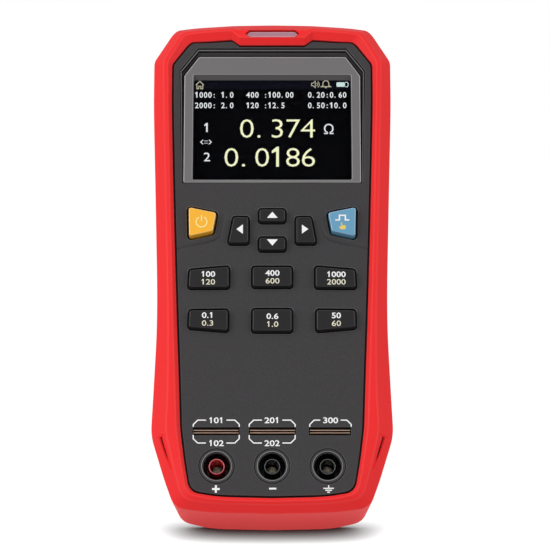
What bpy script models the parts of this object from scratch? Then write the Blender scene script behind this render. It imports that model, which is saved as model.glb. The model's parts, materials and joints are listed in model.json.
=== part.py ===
"""A handheld component tester in a rubber holster, leaning back on its kickstand.

Everything is drawn in the meter's own frame: x to the right, y up the panel from the bottom end,
z out of the panel from the back. One empty then leans the meter back and stands it on the floor.
"""
import math
from collections import namedtuple

import bmesh
import bpy
from mathutils import Matrix, Vector

MM = 0.001


def mm(*sizes):
    """Sizes given in millimetres, in metres."""
    return tuple(size * MM for size in sizes)


# How it stands, and the gap kept between pieces that touch
LEAN = math.radians(25.0)
STAND_OPEN = math.radians(36.0)
GROUND = 1.9 * MM
GAP = 0.3 * MM

# Case levels, measured from the back
PANEL_Z = 38.4 * MM
PANEL_WALL = 3.0 * MM
CEILING_Z = PANEL_Z - PANEL_WALL
SHOULDER_Z = PANEL_Z - 1.5 * MM
PARTING_Z = 18.0 * MM
BACK_Z = 0.7 * MM
BACK_WALL = 2.3 * MM
SHELL_WALL = 2.2 * MM

# Holster
HOLSTER_WALL = 3.3 * MM
HOLSTER_EDGE_Z = PANEL_Z - 3.5 * MM
REAR_EDGE_INSET = 1.2 * MM
REAR_EDGE_Z = 5.0 * MM
REAR_LIP_WIDTH = 6.5 * MM
REAR_LIP_Z = 1.8 * MM
SHELL_INSET = HOLSTER_WALL + GAP

# Right half of the case from the top centre to the bottom centre, in millimetres: a point on the edge
# of the panel, a point on the outside, how far along from one to the other the lip's crest and ridge
# lie, how high they rise, how far the wall draws in from its front edge to the back, and how much of
# its two neighbouring spans a rounded corner takes.
Station = namedtuple("Station",
                     "open_x open_y outer_x outer_y crest ridge crest_rise ridge_rise draft rounding")
HALF_OUTLINE = [
    Station(0.0, 178.8, 0.0, 188.3, 0.28, 0.78, 1.6, 1.2, 0.35, 0.0),
    Station(12.2, 178.8, 12.8, 188.1, 0.28, 0.78, 1.6, 1.2, 0.35, 0.0),
    Station(15.1, 181.0, 15.6, 188.0, 0.44, 0.56, 1.5, 1.4, 0.35, 0.0),
    Station(25.0, 180.3, 29.0, 187.1, 0.44, 0.56, 1.5, 1.4, 0.35, 0.0),
    Station(30.7, 179.9, 36.8, 186.1, 0.40, 0.56, 1.5, 1.4, 0.35, 0.2),
    Station(37.4, 171.3, 44.6, 173.6, 0.24, 0.50, 1.5, 1.4, 0.35, 0.14),
    Station(37.4, 155.0, 44.6, 155.0, 0.17, 0.45, 1.5, 1.3, 0.35, 0.0),
    Station(36.3, 117.5, 43.4, 117.5, 0.17, 0.45, 1.5, 1.3, 0.5, 0.0),
    Station(34.8, 76.0, 42.1, 74.0, 0.17, 0.45, 1.5, 1.3, 0.5, 0.3),
    Station(33.5, 45.0, 43.2, 47.0, 0.15, 0.45, 1.5, 1.3, 0.7, 0.0),
    Station(33.0, 30.5, 44.1, 28.6, 0.13, 0.50, 1.4, 1.0, 1.6, 0.22),
    Station(31.5, 18.5, 39.2, 12.3, 0.15, 0.50, 1.3, 0.6, 3.2, 0.0),
    Station(29.6, 7.2, 35.3, 1.7, 0.20, 0.50, 1.0, -0.1, 2.2, 0.27),
    Station(19.0, 5.5, 22.5, 0.1, 0.30, 0.50, 0.9, -0.2, 0.35, 0.0),
    Station(0.0, 5.05, 0.0, -0.4, 0.30, 0.50, 0.9, -0.2, 0.35, 0.0),
]
ROUND_STEPS = 3

# Display: its clear area, the frame round it and the layers under it
DISPLAY_CORNERS = [(-29.5, 125.7), (29.5, 125.7), (29.5, 165.1), (-29.5, 165.1)]
BEZEL_CORNERS = [(-32.75, 124.5), (32.75, 124.5), (32.75, 167.2), (27.3, 174.2), (-27.3, 174.2),
                 (-32.75, 167.2)]
BEZEL_Z = (PANEL_Z - 1.4 * MM, PANEL_Z - 0.3 * MM)
BEZEL_SLOPE = 0.5 * MM
BEZEL_CORNER = 0.8 * MM
WINDOW_LAP = 0.8 * MM
WINDOW_Z = (PANEL_Z - 2.8 * MM, BEZEL_Z[0] - GAP)
LCD_LAP = 2.2 * MM
LCD_Z = (33.0 * MM, WINDOW_Z[0] - GAP)
TRAY_LAP = 2.9 * MM
TRAY_Z = mm(31.2, 32.7)
CARRIER_LAP = 3.3 * MM
RIBBON_PATH = [(123.1, 34.2), (119.8, 34.0), (118.3, 32.2), (118.0, 29.6), (118.8, 27.7), (121.6, 27.5)]
RIBBON_HALF = 9.0 * MM

# Keys: corners in millimetres of the hole in the panel, clockwise
KEY_HOLES = {
    "power": [(-31.6, 114.7), (-19.9, 112.2), (-21.5, 103.5), (-31.3, 101.2)],
    "up": [(-5.4, 113.9), (5.4, 113.9), (5.4, 107.9), (-5.4, 107.9)],
    "down": [(-5.4, 102.9), (5.4, 102.9), (5.4, 96.9), (-5.4, 96.9)],
    "left": [(-14.8, 110.9), (-8.2, 110.9), (-8.2, 99.6), (-16.9, 99.6)],
    "one": [(-30.9, 90.4), (-15.3, 91.8), (-15.3, 82.6), (-31.3, 82.5)],
    "two": [(-7.8, 91.6), (7.8, 91.6), (7.8, 82.9), (-7.8, 82.9)],
    "four": [(-30.9, 75.0), (-15.6, 75.2), (-15.6, 66.0), (-31.1, 67.4)],
    "five": [(-7.8, 75.4), (7.8, 75.4), (7.8, 65.9), (-7.8, 65.9)],
}
MIRRORED_KEYS = {"trigger": "power", "right": "left", "three": "one", "six": "four"}
KEY_NAMES = [*KEY_HOLES, *MIRRORED_KEYS]
KEY_COLOURS = {"power": "key_amber", "trigger": "key_blue"}
KEY_CORNER = 1.3 * MM
KEY_LEAST_CORNER = 0.3 * MM
KEY_CORNER_STEPS = 3
KEY_CLEARANCE = 0.35 * MM
KEY_RISE = 2.1 * MM
KEY_EDGE = 0.75 * MM
KEY_EDGE_BEND = 0.3
KEY_FLANGE = 0.9 * MM
KEY_FLANGE_THICKNESS = 1.2 * MM
KEY_PLUNGER_INSET = 2.2 * MM
KEY_PLUNGER_GAP = 1.3 * MM

# Boards and what they carry, as blocks of x, y and z limits
BOARD_Z = mm(25.4, 27.0)
BOARD_CORNERS = [(-31.0, 25.0), (31.0, 25.0), (34.5, 62.0), (34.5, 172.0), (16.0, 172.0), (16.0, 181.0),
                 (-16.0, 181.0), (-16.0, 172.0), (-34.5, 172.0), (-34.5, 62.0)]
UNDER_BOARD = BOARD_Z[0] - GAP
ON_BOARD = BOARD_Z[1] + GAP
MAT = (*mm(-32.0, 32.0, 62.0, 116.0), ON_BOARD, 28.8 * MM)
SHIELD = (*mm(-20.0, 20.0, 32.0, 58.0, 21.0), UNDER_BOARD)
PROCESSOR = (*mm(-8.0, 8.0, 108.0, 124.0, 23.6), UNDER_BOARD)
USB_SOCKET = (*mm(-4.0, 4.0, 171.5, 182.0, 22.2), UNDER_BOARD)
LAMP = (*mm(-2.0, 2.0, 179.6, 180.8), ON_BOARD, 28.9 * MM)
BUZZER_PLACE = mm(-22.0, 98.0)
BUZZER_RADIUS = 6.0 * MM
BUZZER_HEIGHT = 4.7 * MM
POST_PLACES = [mm(-27.0, 57.0), mm(27.0, 57.0)]
POST_RADIUS = 2.5 * MM
POST_HOLE = 1.2 * MM
POST_HOLE_TOP_Z = 33.0 * MM

# Sockets
JACKS = {"positive": -20.0 * MM, "negative": 0.0, "guard": 20.0 * MM}
JACK_Y = 16.5 * MM
JACK_HOLE = 4.83 * MM
COLLAR_RADIUS = 6.4 * MM
COLLAR_Z = (17.6 * MM, PANEL_Z + 0.4 * MM)
JACK_BOARD = mm(-28.0, 28.0, 8.0, 23.0, 14.0, 15.6)
SLEEVE_RADIUS = 3.2 * MM
SLEEVE_BORE = 2.65 * MM
SLEEVE_FLANGE = 4.5 * MM
SLEEVE_FLANGE_HEIGHT = 2.4 * MM
SLEEVE_Z = (JACK_BOARD[5] + GAP, PANEL_Z - 0.8 * MM)
CONTACT_RADIUS = 2.35 * MM
CONTACT_BORE = 2.0 * MM
CONTACT_Z = (SLEEVE_Z[0] + 1.0 * MM, 34.5 * MM)
CONTACT_FLOOR = 1.0 * MM
TAIL_RADIUS = 1.0 * MM
TAIL_LOW_Z = JACK_BOARD[4] - 1.6 * MM
JACK_WIRE_PATH = [(18.2, 12.9), (21.0, 12.2), (23.4, 13.2), (24.2, 16.0), (24.3, 20.0), (25.4, 23.0),
                  (27.0, 24.4)]
JACK_WIRE_RADIUS = 0.55 * MM

# Test slots: middle and length of each in millimetres, and the run of a contact leaf up to its mouth
SLOTS = {"high": (-20.27, 17.0), "low": (0.1, 17.0), "guard": (20.9, 15.2)}
SLOT_Y = 29.5 * MM
SLOT_HALF_WIDTH = 1.4 * MM
SLOT_BLOCK = (*mm(-31.0, 31.0, 25.4, 33.3), ON_BOARD, CEILING_Z - GAP)
LEAF_PATH = [(1.15, 27.5), (1.15, 30.0), (0.5, 33.8), (0.45, 35.4), (0.62, 37.7)]
LEAF_THICKNESS = 0.35 * MM
LEAF_END_GAP = 0.6 * MM

# Fasteners
CASE_SCREW_PLACES = [mm(-24.0, 176.5), mm(24.0, 176.5), mm(-30.0, 44.0), mm(30.0, 44.0)]
BOSS_RADIUS = 3.2 * MM
REAR_BOSS_RADIUS = 3.6 * MM
SCREW_SHANK = 1.4 * MM
SCREW_HEAD = 2.7 * MM
SCREW_HEAD_HEIGHT = 1.9 * MM
SCREW_SEAT_Z = 9.0 * MM
SCREW_TIP_Z = 30.0 * MM
SMALL_SHANK = 0.9 * MM
SMALL_HEAD = 2.0 * MM
SMALL_HEAD_HEIGHT = 1.4 * MM

# Stand, and the recess in the back that it folds into
HINGE_Y = 124.0 * MM
HINGE_Z = 4.6 * MM
BARREL_RADIUS = 3.4 * MM
BARREL_STEPS = 14
PIN_RADIUS = 1.5 * MM
PIN_HALF = 29.4 * MM
PIN_BOSS = mm(6.6, 5.0, 9.6)
STAND_HALF = 24.0 * MM
STAND_FOOT_HALF = 19.0 * MM
STAND_SHOULDER = 12.0 * MM
STAND_PLATE_Z = mm(-3.4, -0.2)
NOTCH_HALF = 9.0 * MM
NOTCH_DEPTH = 3.5 * MM
RECESS_HALF = 24.8 * MM
RECESS_Y = mm(8.0, 129.6)
RECESS_Z = 5.0 * MM
RECESS_WALL = 2.4 * MM
RECESS_FLOOR = 3.0 * MM
TROUGH_LOW_Y = HINGE_Y - 5.5 * MM
TROUGH_Z = 8.6 * MM

# Battery bay in the floor of that recess
BAY = mm(-20.0, 20.0, 28.0, 83.0, 7.0, 17.5)
BAY_ROOF = 1.5 * MM
PACK_SPARE = 1.0 * MM
PACK_Z = mm(7.7, 17.0)
DOOR = mm(-21.0, 21.0, 27.0, 92.0, 5.3, 7.1)
DOOR_SCREW_Y = 88.5 * MM
DOOR_SCREW_SHANK = 1.1 * MM
DOOR_SCREW_HEAD = 2.5 * MM
DOOR_SCREW_HEAD_Z = mm(4.7, 5.9)
DOOR_SCREW_TIP_Z = 12.0 * MM
DOOR_BOSS_TOP_Z = 14.0 * MM
LEAD_X = 10.0 * MM
LEAD_PATH = [(82.4, 15.0), (88.0, 15.4), (93.0, 18.6), (97.0, 22.6), (99.0, 24.0)]
LEAD_RADIUS = 0.9 * MM
LEAD_SLOT = mm(8.5, 11.5, 82.0, 87.0, 13.4, 16.6)
RIB_X = 13.0 * MM
RIB_HALF = 1.0 * MM
RIB_Y = mm(9.0, 22.0)

# Top end: the charging opening with its cover, and the indicator
PORT = mm(-6.2, 6.2, 180.0, 192.0, 20.7, 26.5)
COVER_Y = mm(183.0, 188.6)
LENS_CORNERS = [(-10.0, 183.0), (-8.6, 184.1), (8.6, 184.1), (10.0, 183.0), (8.6, 181.8), (-8.6, 181.8)]
LENS_Z = (32.8 * MM, PANEL_Z + 1.1 * MM)
LIGHT_GUIDE = mm(-5.0, 5.0, 180.2, 182.1, 29.3, 34.5)

# How far cutters reach past what they cut, and how many sides round pieces have
PAST = 1.0 * MM
FAR = 100.0 * MM
ROUND_SIDES = 24
THIN_SIDES = 12
SHARP_ANGLE = math.radians(40.0)

# Colour, metallic value and roughness
COLOURS = {
    "holster_red": ((0.74, 0.02, 0.025), 0.0, 0.45),
    "panel_grey": ((0.055, 0.055, 0.06), 0.0, 0.5),
    "rear_grey": ((0.04, 0.04, 0.043), 0.0, 0.55),
    "bezel_grey": ((0.16, 0.16, 0.165), 0.0, 0.45),
    "window_clear": ((0.02, 0.02, 0.022), 0.0, 0.08),
    "lcd_black": ((0.01, 0.01, 0.012), 0.0, 0.15),
    "key_black": ((0.02, 0.02, 0.021), 0.0, 0.45),
    "key_amber": ((0.9, 0.42, 0.04), 0.0, 0.4),
    "key_blue": ((0.16, 0.38, 0.68), 0.0, 0.4),
    "lens_grey": ((0.6, 0.58, 0.65), 0.0, 0.2),
    "jack_red": ((0.7, 0.03, 0.06), 0.0, 0.3),
    "jack_black": ((0.02, 0.02, 0.02), 0.0, 0.3),
    "brass": ((0.75, 0.55, 0.25), 1.0, 0.3),
    "copper": ((0.6, 0.33, 0.2), 1.0, 0.35),
    "board_green": ((0.02, 0.16, 0.06), 0.0, 0.4),
    "steel": ((0.55, 0.55, 0.57), 1.0, 0.3),
    "silicone": ((0.3, 0.3, 0.32), 0.0, 0.6),
    "cell_blue": ((0.05, 0.15, 0.35), 0.0, 0.4),
    "wire_red": ((0.5, 0.03, 0.03), 0.0, 0.5),
    "wire_black": ((0.02, 0.02, 0.02), 0.0, 0.5),
    "frame_white": ((0.7, 0.7, 0.68), 0.0, 0.4),
}


# Outlines

def mm_points(corners):
    """Corners given in millimetres, as points in metres."""
    return [Vector(mm(*corner)) for corner in corners]


def mirrored(corners):
    """The same corners on the other side of the centre line, still clockwise."""
    return [(-x, y) for x, y in reversed(corners)]


def grown(points, distance):
    """A convex outline with every edge moved outwards."""
    count = len(points)
    area = sum(points[i].cross(points[(i + 1) % count]) for i in range(count))
    side = 1.0 if area > 0 else -1.0
    normals = []
    for i in range(count):
        run = (points[(i + 1) % count] - points[i]).normalized()
        normals.append(Vector((run.y, -run.x)) * side)
    moved = []
    for i in range(count):
        before = normals[i - 1]
        after = normals[i]
        moved.append(points[i] + (before + after) * distance / (1.0 + before.dot(after)))
    return moved


def filleted(points, radius, steps):
    """An outline with every corner turned into an arc of this radius."""
    found = []
    count = len(points)
    for i in range(count):
        corner = points[i]
        back = (points[i - 1] - corner).normalized()
        ahead = (points[(i + 1) % count] - corner).normalized()
        half = back.angle(ahead) / 2
        centre = corner + (back + ahead).normalized() * radius / math.sin(half)
        start = corner + back * radius / math.tan(half) - centre
        end = corner + ahead * radius / math.tan(half) - centre
        turn = start.angle_signed(end)
        for step in range(steps + 1):
            found.append(centre + Matrix.Rotation(-turn * step / steps, 2) @ start)
    return found


def mix(one, other, share):
    """A row of numbers part of the way from one row to another."""
    return [a + (b - a) * share for a, b in zip(one, other)]


def rounded_rows(stations):
    """The half outline with its rounded corners drawn as short curves."""
    rows = [list(station) for station in stations]
    found = []
    for i, row in enumerate(rows):
        share = stations[i].rounding
        if share == 0:
            found.append(row)
            continue
        before = mix(row, rows[i - 1], share)
        after = mix(row, rows[i + 1], share)
        for step in range(ROUND_STEPS + 1):
            along = step / ROUND_STEPS
            found.append(mix(mix(before, row, along), mix(row, after, along), along))
    return [Station(*row) for row in found]


CASE_ROWS = rounded_rows(HALF_OUTLINE)


def case_loop(point_of):
    """A closed loop round the case from one point for each row of its right half."""
    right = [Vector(point_of(row)) for row in CASE_ROWS]
    left = [Vector((-p.x, p.y, p.z)) for p in reversed(right[1:-1])]
    return right + left


def ends(row):
    """The panel-edge point and the outside point of a row, in metres."""
    opening = Vector(mm(row.open_x, row.open_y))
    outer = Vector(mm(row.outer_x, row.outer_y))
    return opening, outer


def inset_loop(distance, z):
    """The loop at a height that lies this far inside the drawn-in outside of the holster."""
    taper = 1.0 - z / (SHOULDER_Z + GAP)

    def point(row):
        opening, outer = ends(row)
        spot = outer + (opening - outer).normalized() * (distance + row.draft * MM * taper)
        return spot.x, spot.y, z
    return case_loop(point)


def panel_loop(inset, z):
    """The loop that lies this far inside the edge of the panel."""
    def point(row):
        opening, outer = ends(row)
        spot = opening + (opening - outer).normalized() * inset
        return spot.x, spot.y, z
    return case_loop(point)


def lip_loop(share_name, rise_name):
    """The loop along the crest or the ridge of the holster's front lip."""
    def point(row):
        opening, outer = ends(row)
        spot = opening.lerp(outer, getattr(row, share_name))
        return spot.x, spot.y, PANEL_Z + getattr(row, rise_name) * MM
    return case_loop(point)


def key_corners(name):
    """The corners of a key's hole in the panel."""
    if name in MIRRORED_KEYS:
        return mirrored(KEY_HOLES[MIRRORED_KEYS[name]])
    return KEY_HOLES[name]


def key_ring(name, offset):
    """The outline of a key's hole, moved outwards or inwards, its corners rounded."""
    radius = max(KEY_CORNER + offset, KEY_LEAST_CORNER)
    return filleted(grown(mm_points(key_corners(name)), offset), radius, KEY_CORNER_STEPS)


def slot_span(name, spare):
    """The left and right ends of a test slot, with some length to spare."""
    middle, length = mm(*SLOTS[name])
    return middle - length / 2 - spare, middle + length / 2 + spare


# Bodies

def loft(rings, closed=False):
    """A skin through rings of equally many points, joined end to end or capped."""
    body = bmesh.new()
    loops = [[body.verts.new(point) for point in ring] for ring in rings]
    pairs = list(zip(loops, loops[1:]))
    if closed:
        pairs.append((loops[-1], loops[0]))
    else:
        body.faces.new(loops[0])
        body.faces.new(loops[-1])
    for low, high in pairs:
        for i in range(len(low)):
            j = (i + 1) % len(low)
            body.faces.new((low[i], low[j], high[j], high[i]))
    bmesh.ops.recalc_face_normals(body, faces=body.faces)
    return body


def flat_ring(points, z):
    """A flat outline lifted to a height."""
    return [Vector((p.x, p.y, z)) for p in points]


def prism(points, low, high):
    """An outline pulled up between two heights."""
    return loft([flat_ring(points, low), flat_ring(points, high)])


def box(x0, x1, y0, y1, z0, z1):
    """A plain block."""
    return prism([Vector((x0, y0)), Vector((x1, y0)), Vector((x1, y1)), Vector((x0, y1))], z0, z1)


def widened(limits, sides, ends_too=0.0):
    """A block's limits moved outwards, by one distance in x and y and another in z."""
    x0, x1, y0, y1, z0, z1 = limits
    return x0 - sides, x1 + sides, y0 - sides, y1 + sides, z0 - ends_too, z1 + ends_too


def circle(radius, x, y, sides):
    """Points round a circle."""
    turns = [2 * math.pi * i / sides for i in range(sides)]
    return [Vector((x + radius * math.cos(t), y + radius * math.sin(t))) for t in turns]


def turned(profile, x, y, sides=ROUND_SIDES, closed=False):
    """A turned body from radius and height pairs, a solid or, when closed, a tube."""
    return loft([flat_ring(circle(radius, x, y, sides), z) for radius, z in profile], closed)


def rod(radius, x, y, low, high, sides=THIN_SIDES):
    """A plain cylinder along z."""
    return turned([(radius, low), (radius, high)], x, y, sides)


def pulled_x(profile, x0, x1):
    """A side profile of y and z pairs pulled from one x to another."""
    return loft([[Vector((x, y, z)) for y, z in profile] for x in (x0, x1)])


def cross_rod(radius, y, z, half):
    """A plain cylinder along x, centred on the middle of the meter."""
    return pulled_x([tuple(p) for p in circle(radius, y, z, THIN_SIDES)], -half, half)


def strip(path, thickness):
    """The outline of a thin strip that follows a path of y and z pairs."""
    points = [Vector(p) for p in path]
    last = len(points) - 1
    one_side = []
    other_side = []
    for i, point in enumerate(points):
        run = (points[min(i + 1, last)] - points[max(i - 1, 0)]).normalized()
        across = Vector((-run.y, run.x)) * thickness / 2
        one_side.append(tuple(point + across))
        other_side.append(tuple(point - across))
    return one_side + other_side[::-1]


# Objects

def clear_scene():
    """Start from nothing."""
    for thing in list(bpy.data.objects):
        bpy.data.objects.remove(thing, do_unlink=True)


def material(name):
    """The named material, made the first time it is asked for."""
    found = bpy.data.materials.get(name)
    if found:
        return found
    colour, metallic, roughness = COLOURS[name]
    found = bpy.data.materials.new(name)
    found.use_nodes = True
    shader = found.node_tree.nodes["Principled BSDF"]
    shader.inputs["Base Color"].default_value = (*colour, 1.0)
    shader.inputs["Metallic"].default_value = metallic
    shader.inputs["Roughness"].default_value = roughness
    return found


def link(name, data, parent):
    """A new object in the scene under its parent."""
    thing = bpy.data.objects.new(name, data)
    bpy.context.scene.collection.objects.link(thing)
    thing.parent = parent
    return thing


def mesh_from(name, bodies):
    """One mesh of one or more closed bodies."""
    whole = bmesh.new()
    for body in bodies:
        piece = bpy.data.meshes.new(name)
        body.to_mesh(piece)
        body.free()
        whole.from_mesh(piece)
        bpy.data.meshes.remove(piece)
    mesh = bpy.data.meshes.new(name)
    whole.to_mesh(mesh)
    whole.free()
    return mesh


def place(name, body, colour, parent, origin=(0.0, 0.0, 0.0)):
    """A sub-part made of one body, its origin at a point of its parent's frame."""
    mesh = mesh_from(name, [body])
    mesh.transform(Matrix.Translation(-Vector(origin)))
    mesh.materials.append(material(colour))
    mesh.shade_smooth()
    mesh.set_sharp_from_angle(angle=SHARP_ANGLE)
    thing = link(name, mesh, parent)
    thing.location = origin
    return thing


def shape(target, operation, bodies):
    """Cut bodies out of a sub-part, add them to it, or keep only what lies inside them."""
    name = f"{target.name}_{operation.lower()}"
    helper = link(name, mesh_from(name, bodies), target.parent)
    helper.hide_render = True
    helper.display_type = "WIRE"
    step = target.modifiers.new(name, "BOOLEAN")
    step.operation = operation
    step.solver = "EXACT"
    step.use_self = True
    step.object = helper


def smooth_route(points, spacing):
    """Points about this far apart along a smooth curve through the given ones."""
    padded = [2 * points[0] - points[1], *points, 2 * points[-1] - points[-2]]
    found = []
    for before, start, end, after in zip(padded, padded[1:], padded[2:], padded[3:]):
        steps = max(1, round((end - start).length / spacing))
        for step in range(steps):
            t = step / steps
            bend = 2 * before - 5 * start + 4 * end - after
            twist = 3 * start - before - 3 * end + after
            found.append(start + ((end - before) * t + bend * t ** 2 + twist * t ** 3) / 2)
    return [*found, points[-1]]


def add_wire(name, x, path, radius, colour, parent):
    """A round wire at one x along a path of y and z pairs in millimetres."""
    route = smooth_route([Vector((x, *mm(y, z))) for y, z in path], 5 * radius)
    curve = bpy.data.curves.new(name, "CURVE")
    curve.dimensions = "3D"
    curve.bevel_depth = radius
    curve.bevel_resolution = 2
    curve.use_fill_caps = True
    line = curve.splines.new("POLY")
    line.points.add(len(route) - 1)
    for spot, point in zip(line.points, route):
        spot.co = (*point, 1.0)
    curve.materials.append(material(colour))
    link(name, curve, parent)


# Case

def port_cut():
    """The opening over the charging socket."""
    return box(*PORT)


def lens_cut():
    """The opening round the indicator lens."""
    return prism(grown(mm_points(LENS_CORNERS), GAP), LENS_Z[0] - GAP, PANEL_Z + PANEL_WALL)


def add_holster(meter):
    """The rubber boot: a ring round both shells with a lip over the front and the back."""
    rings = [
        panel_loop(0.0, SHOULDER_Z + GAP),
        panel_loop(0.0, PANEL_Z),
        lip_loop("crest", "crest_rise"),
        lip_loop("ridge", "ridge_rise"),
        inset_loop(0.0, HOLSTER_EDGE_Z),
        inset_loop(0.0, REAR_EDGE_Z),
        inset_loop(REAR_EDGE_INSET, 0.0),
        inset_loop(REAR_LIP_WIDTH, 0.0),
        inset_loop(REAR_LIP_WIDTH, REAR_LIP_Z),
        inset_loop(HOLSTER_WALL, REAR_LIP_Z),
        inset_loop(HOLSTER_WALL, PARTING_Z),
        inset_loop(HOLSTER_WALL, SHOULDER_Z + GAP),
    ]
    holster = place("holster", loft(rings, closed=True), "holster_red", meter)
    floor = box(-FAR, FAR, -FAR, FAR, -FAR, GROUND)
    floor.transform(Matrix.Rotation(LEAN - math.pi / 2, 4, "X"))
    shape(holster, "DIFFERENCE", [floor, port_cut(), lens_cut()])


def add_front_shell(meter):
    """The grey panel with its walls, socket collars and bosses."""
    rings = [
        inset_loop(SHELL_INSET + SHELL_WALL, CEILING_Z),
        inset_loop(SHELL_INSET + SHELL_WALL, PARTING_Z),
        inset_loop(SHELL_INSET, PARTING_Z),
        inset_loop(SHELL_INSET, SHOULDER_Z),
        panel_loop(GAP, SHOULDER_Z),
        panel_loop(GAP, PANEL_Z),
    ]
    shell = place("front_shell", loft(rings), "panel_grey", meter)
    root_z = CEILING_Z + PAST
    extras = [rod(COLLAR_RADIUS, x, JACK_Y, *COLLAR_Z, ROUND_SIDES) for x in JACKS.values()]
    extras += [rod(BOSS_RADIUS, x, y, PARTING_Z + GAP, root_z) for x, y in CASE_SCREW_PLACES]
    extras += [rod(POST_RADIUS, x, y, ON_BOARD, root_z) for x, y in POST_PLACES]
    shape(shell, "UNION", extras)

    through = (CEILING_Z - PANEL_WALL, PANEL_Z + PANEL_WALL)
    cuts = [prism(key_ring(name, 0.0), *through) for name in KEY_NAMES]
    cuts += [rod(JACK_HOLE, x, JACK_Y, COLLAR_Z[0] - PAST, COLLAR_Z[1] + PAST, ROUND_SIDES)
             for x in JACKS.values()]
    for name in SLOTS:
        cuts.append(box(*slot_span(name, 0.0), SLOT_Y - SLOT_HALF_WIDTH, SLOT_Y + SLOT_HALF_WIDTH, *through))
    pocket_z = WINDOW_Z[1]
    cuts.append(prism(grown(mm_points(BEZEL_CORNERS), GAP), pocket_z, PANEL_Z + PAST))
    cuts.append(prism(grown(mm_points(DISPLAY_CORNERS), WINDOW_LAP + GAP), through[0], PANEL_Z - GAP))
    cuts += [rod(SCREW_SHANK + GAP, x, y, PARTING_Z - PAST, SCREW_TIP_Z + PAST) for x, y in CASE_SCREW_PLACES]
    cuts += [rod(POST_HOLE, x, y, BOARD_Z[0], POST_HOLE_TOP_Z) for x, y in POST_PLACES]
    shape(shell, "DIFFERENCE", [*cuts, lens_cut(), port_cut()])


def rear_shell_extras():
    """What the back half carries: the recess, the bay, bosses, hinge blocks and ribs."""
    root_z = BACK_Z + BACK_WALL / 2
    side = RECESS_HALF + RECESS_WALL
    top_y = RECESS_Y[1] + RECESS_WALL
    floor_z = RECESS_Z + RECESS_FLOOR
    bay = widened(BAY, RECESS_WALL)
    extras = [
        box(-side, side, RECESS_Y[0] - RECESS_WALL, top_y, root_z, floor_z),
        box(-side, side, TROUGH_LOW_Y - RECESS_WALL, top_y, root_z, TROUGH_Z + RECESS_WALL),
        box(*bay[:5], BAY[5] + BAY_ROOF),
        rod(BOSS_RADIUS, 0.0, DOOR_SCREW_Y, RECESS_Z + PAST, DOOR_BOSS_TOP_Z),
    ]
    extras += [rod(REAR_BOSS_RADIUS, x, y, root_z, PARTING_Z - 2 * GAP, ROUND_SIDES)
               for x, y in CASE_SCREW_PLACES]
    block_width, block_half, block_top_z = PIN_BOSS
    for left in (-RECESS_HALF - block_width, RECESS_HALF):
        extras.append(box(left, left + block_width, HINGE_Y - block_half, HINGE_Y + block_half,
                          root_z, block_top_z))
    for middle in (-RIB_X, RIB_X):
        extras.append(box(middle - RIB_HALF, middle + RIB_HALF, *RIB_Y, floor_z - PAST, JACK_BOARD[4] - GAP))
    return extras


def rear_shell_cuts():
    """The stand's recess and hinge, the door's seat, the bay and the screw holes."""
    cuts = [
        box(-RECESS_HALF, RECESS_HALF, *RECESS_Y, -PAST, RECESS_Z),
        box(-RECESS_HALF, RECESS_HALF, TROUGH_LOW_Y, RECESS_Y[1], BACK_Z, TROUGH_Z),
        box(*widened(DOOR, GAP, GAP)),
        box(*BAY),
        box(*LEAD_SLOT),
        rod(DOOR_SCREW_SHANK + GAP, 0.0, DOOR_SCREW_Y, RECESS_Z, DOOR_SCREW_TIP_Z + PAST),
        cross_rod(PIN_RADIUS + GAP, HINGE_Y, HINGE_Z, PIN_HALF + GAP),
    ]
    for x, y in CASE_SCREW_PLACES:
        cuts.append(rod(SCREW_HEAD + GAP, x, y, -PAST, SCREW_SEAT_Z, ROUND_SIDES))
        cuts.append(rod(SCREW_SHANK + GAP, x, y, SCREW_SEAT_Z - PAST, PARTING_Z + PAST))
    return cuts


def add_rear_shell(meter):
    """The back half: a tray that holds the stand's recess, the battery bay and the bosses."""
    top_z = PARTING_Z - GAP
    rings = [
        inset_loop(SHELL_INSET + SHELL_WALL, BACK_Z + BACK_WALL),
        inset_loop(SHELL_INSET + SHELL_WALL, top_z),
        inset_loop(SHELL_INSET, top_z),
        inset_loop(SHELL_INSET, REAR_LIP_Z + GAP),
        inset_loop(REAR_LIP_WIDTH + GAP, REAR_LIP_Z + GAP),
        inset_loop(REAR_LIP_WIDTH + GAP, BACK_Z),
    ]
    shell = place("rear_shell", loft(rings), "rear_grey", meter)
    shape(shell, "UNION", rear_shell_extras())
    shape(shell, "DIFFERENCE", rear_shell_cuts())


def add_case_screws(meter):
    """Four screws from the back into the bosses of the front shell."""
    seat = SCREW_SEAT_Z - GAP
    profile = [(SCREW_HEAD, seat - SCREW_HEAD_HEIGHT), (SCREW_HEAD, seat), (SCREW_SHANK, seat),
               (SCREW_SHANK, SCREW_TIP_Z)]
    for i, (x, y) in enumerate(CASE_SCREW_PLACES):
        place(f"case_screw_{i + 1}", turned(profile, x, y, THIN_SIDES), "steel", meter)


# Display and indicator

def add_bezel(meter):
    """The frame round the display, its inner edge sloping down to the window."""
    low, high = BEZEL_Z
    outline = filleted(mm_points(BEZEL_CORNERS), BEZEL_CORNER, ROUND_STEPS)
    bezel = place("display_bezel", prism(outline, low, high), "bezel_grey", meter)
    hole = mm_points(DISPLAY_CORNERS)
    wide = grown(hole, BEZEL_SLOPE)
    slope = [flat_ring(hole, low - PAST), flat_ring(hole, low + GAP), flat_ring(wide, high),
             flat_ring(wide, high + PAST)]
    shape(bezel, "DIFFERENCE", [loft(slope)])


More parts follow.
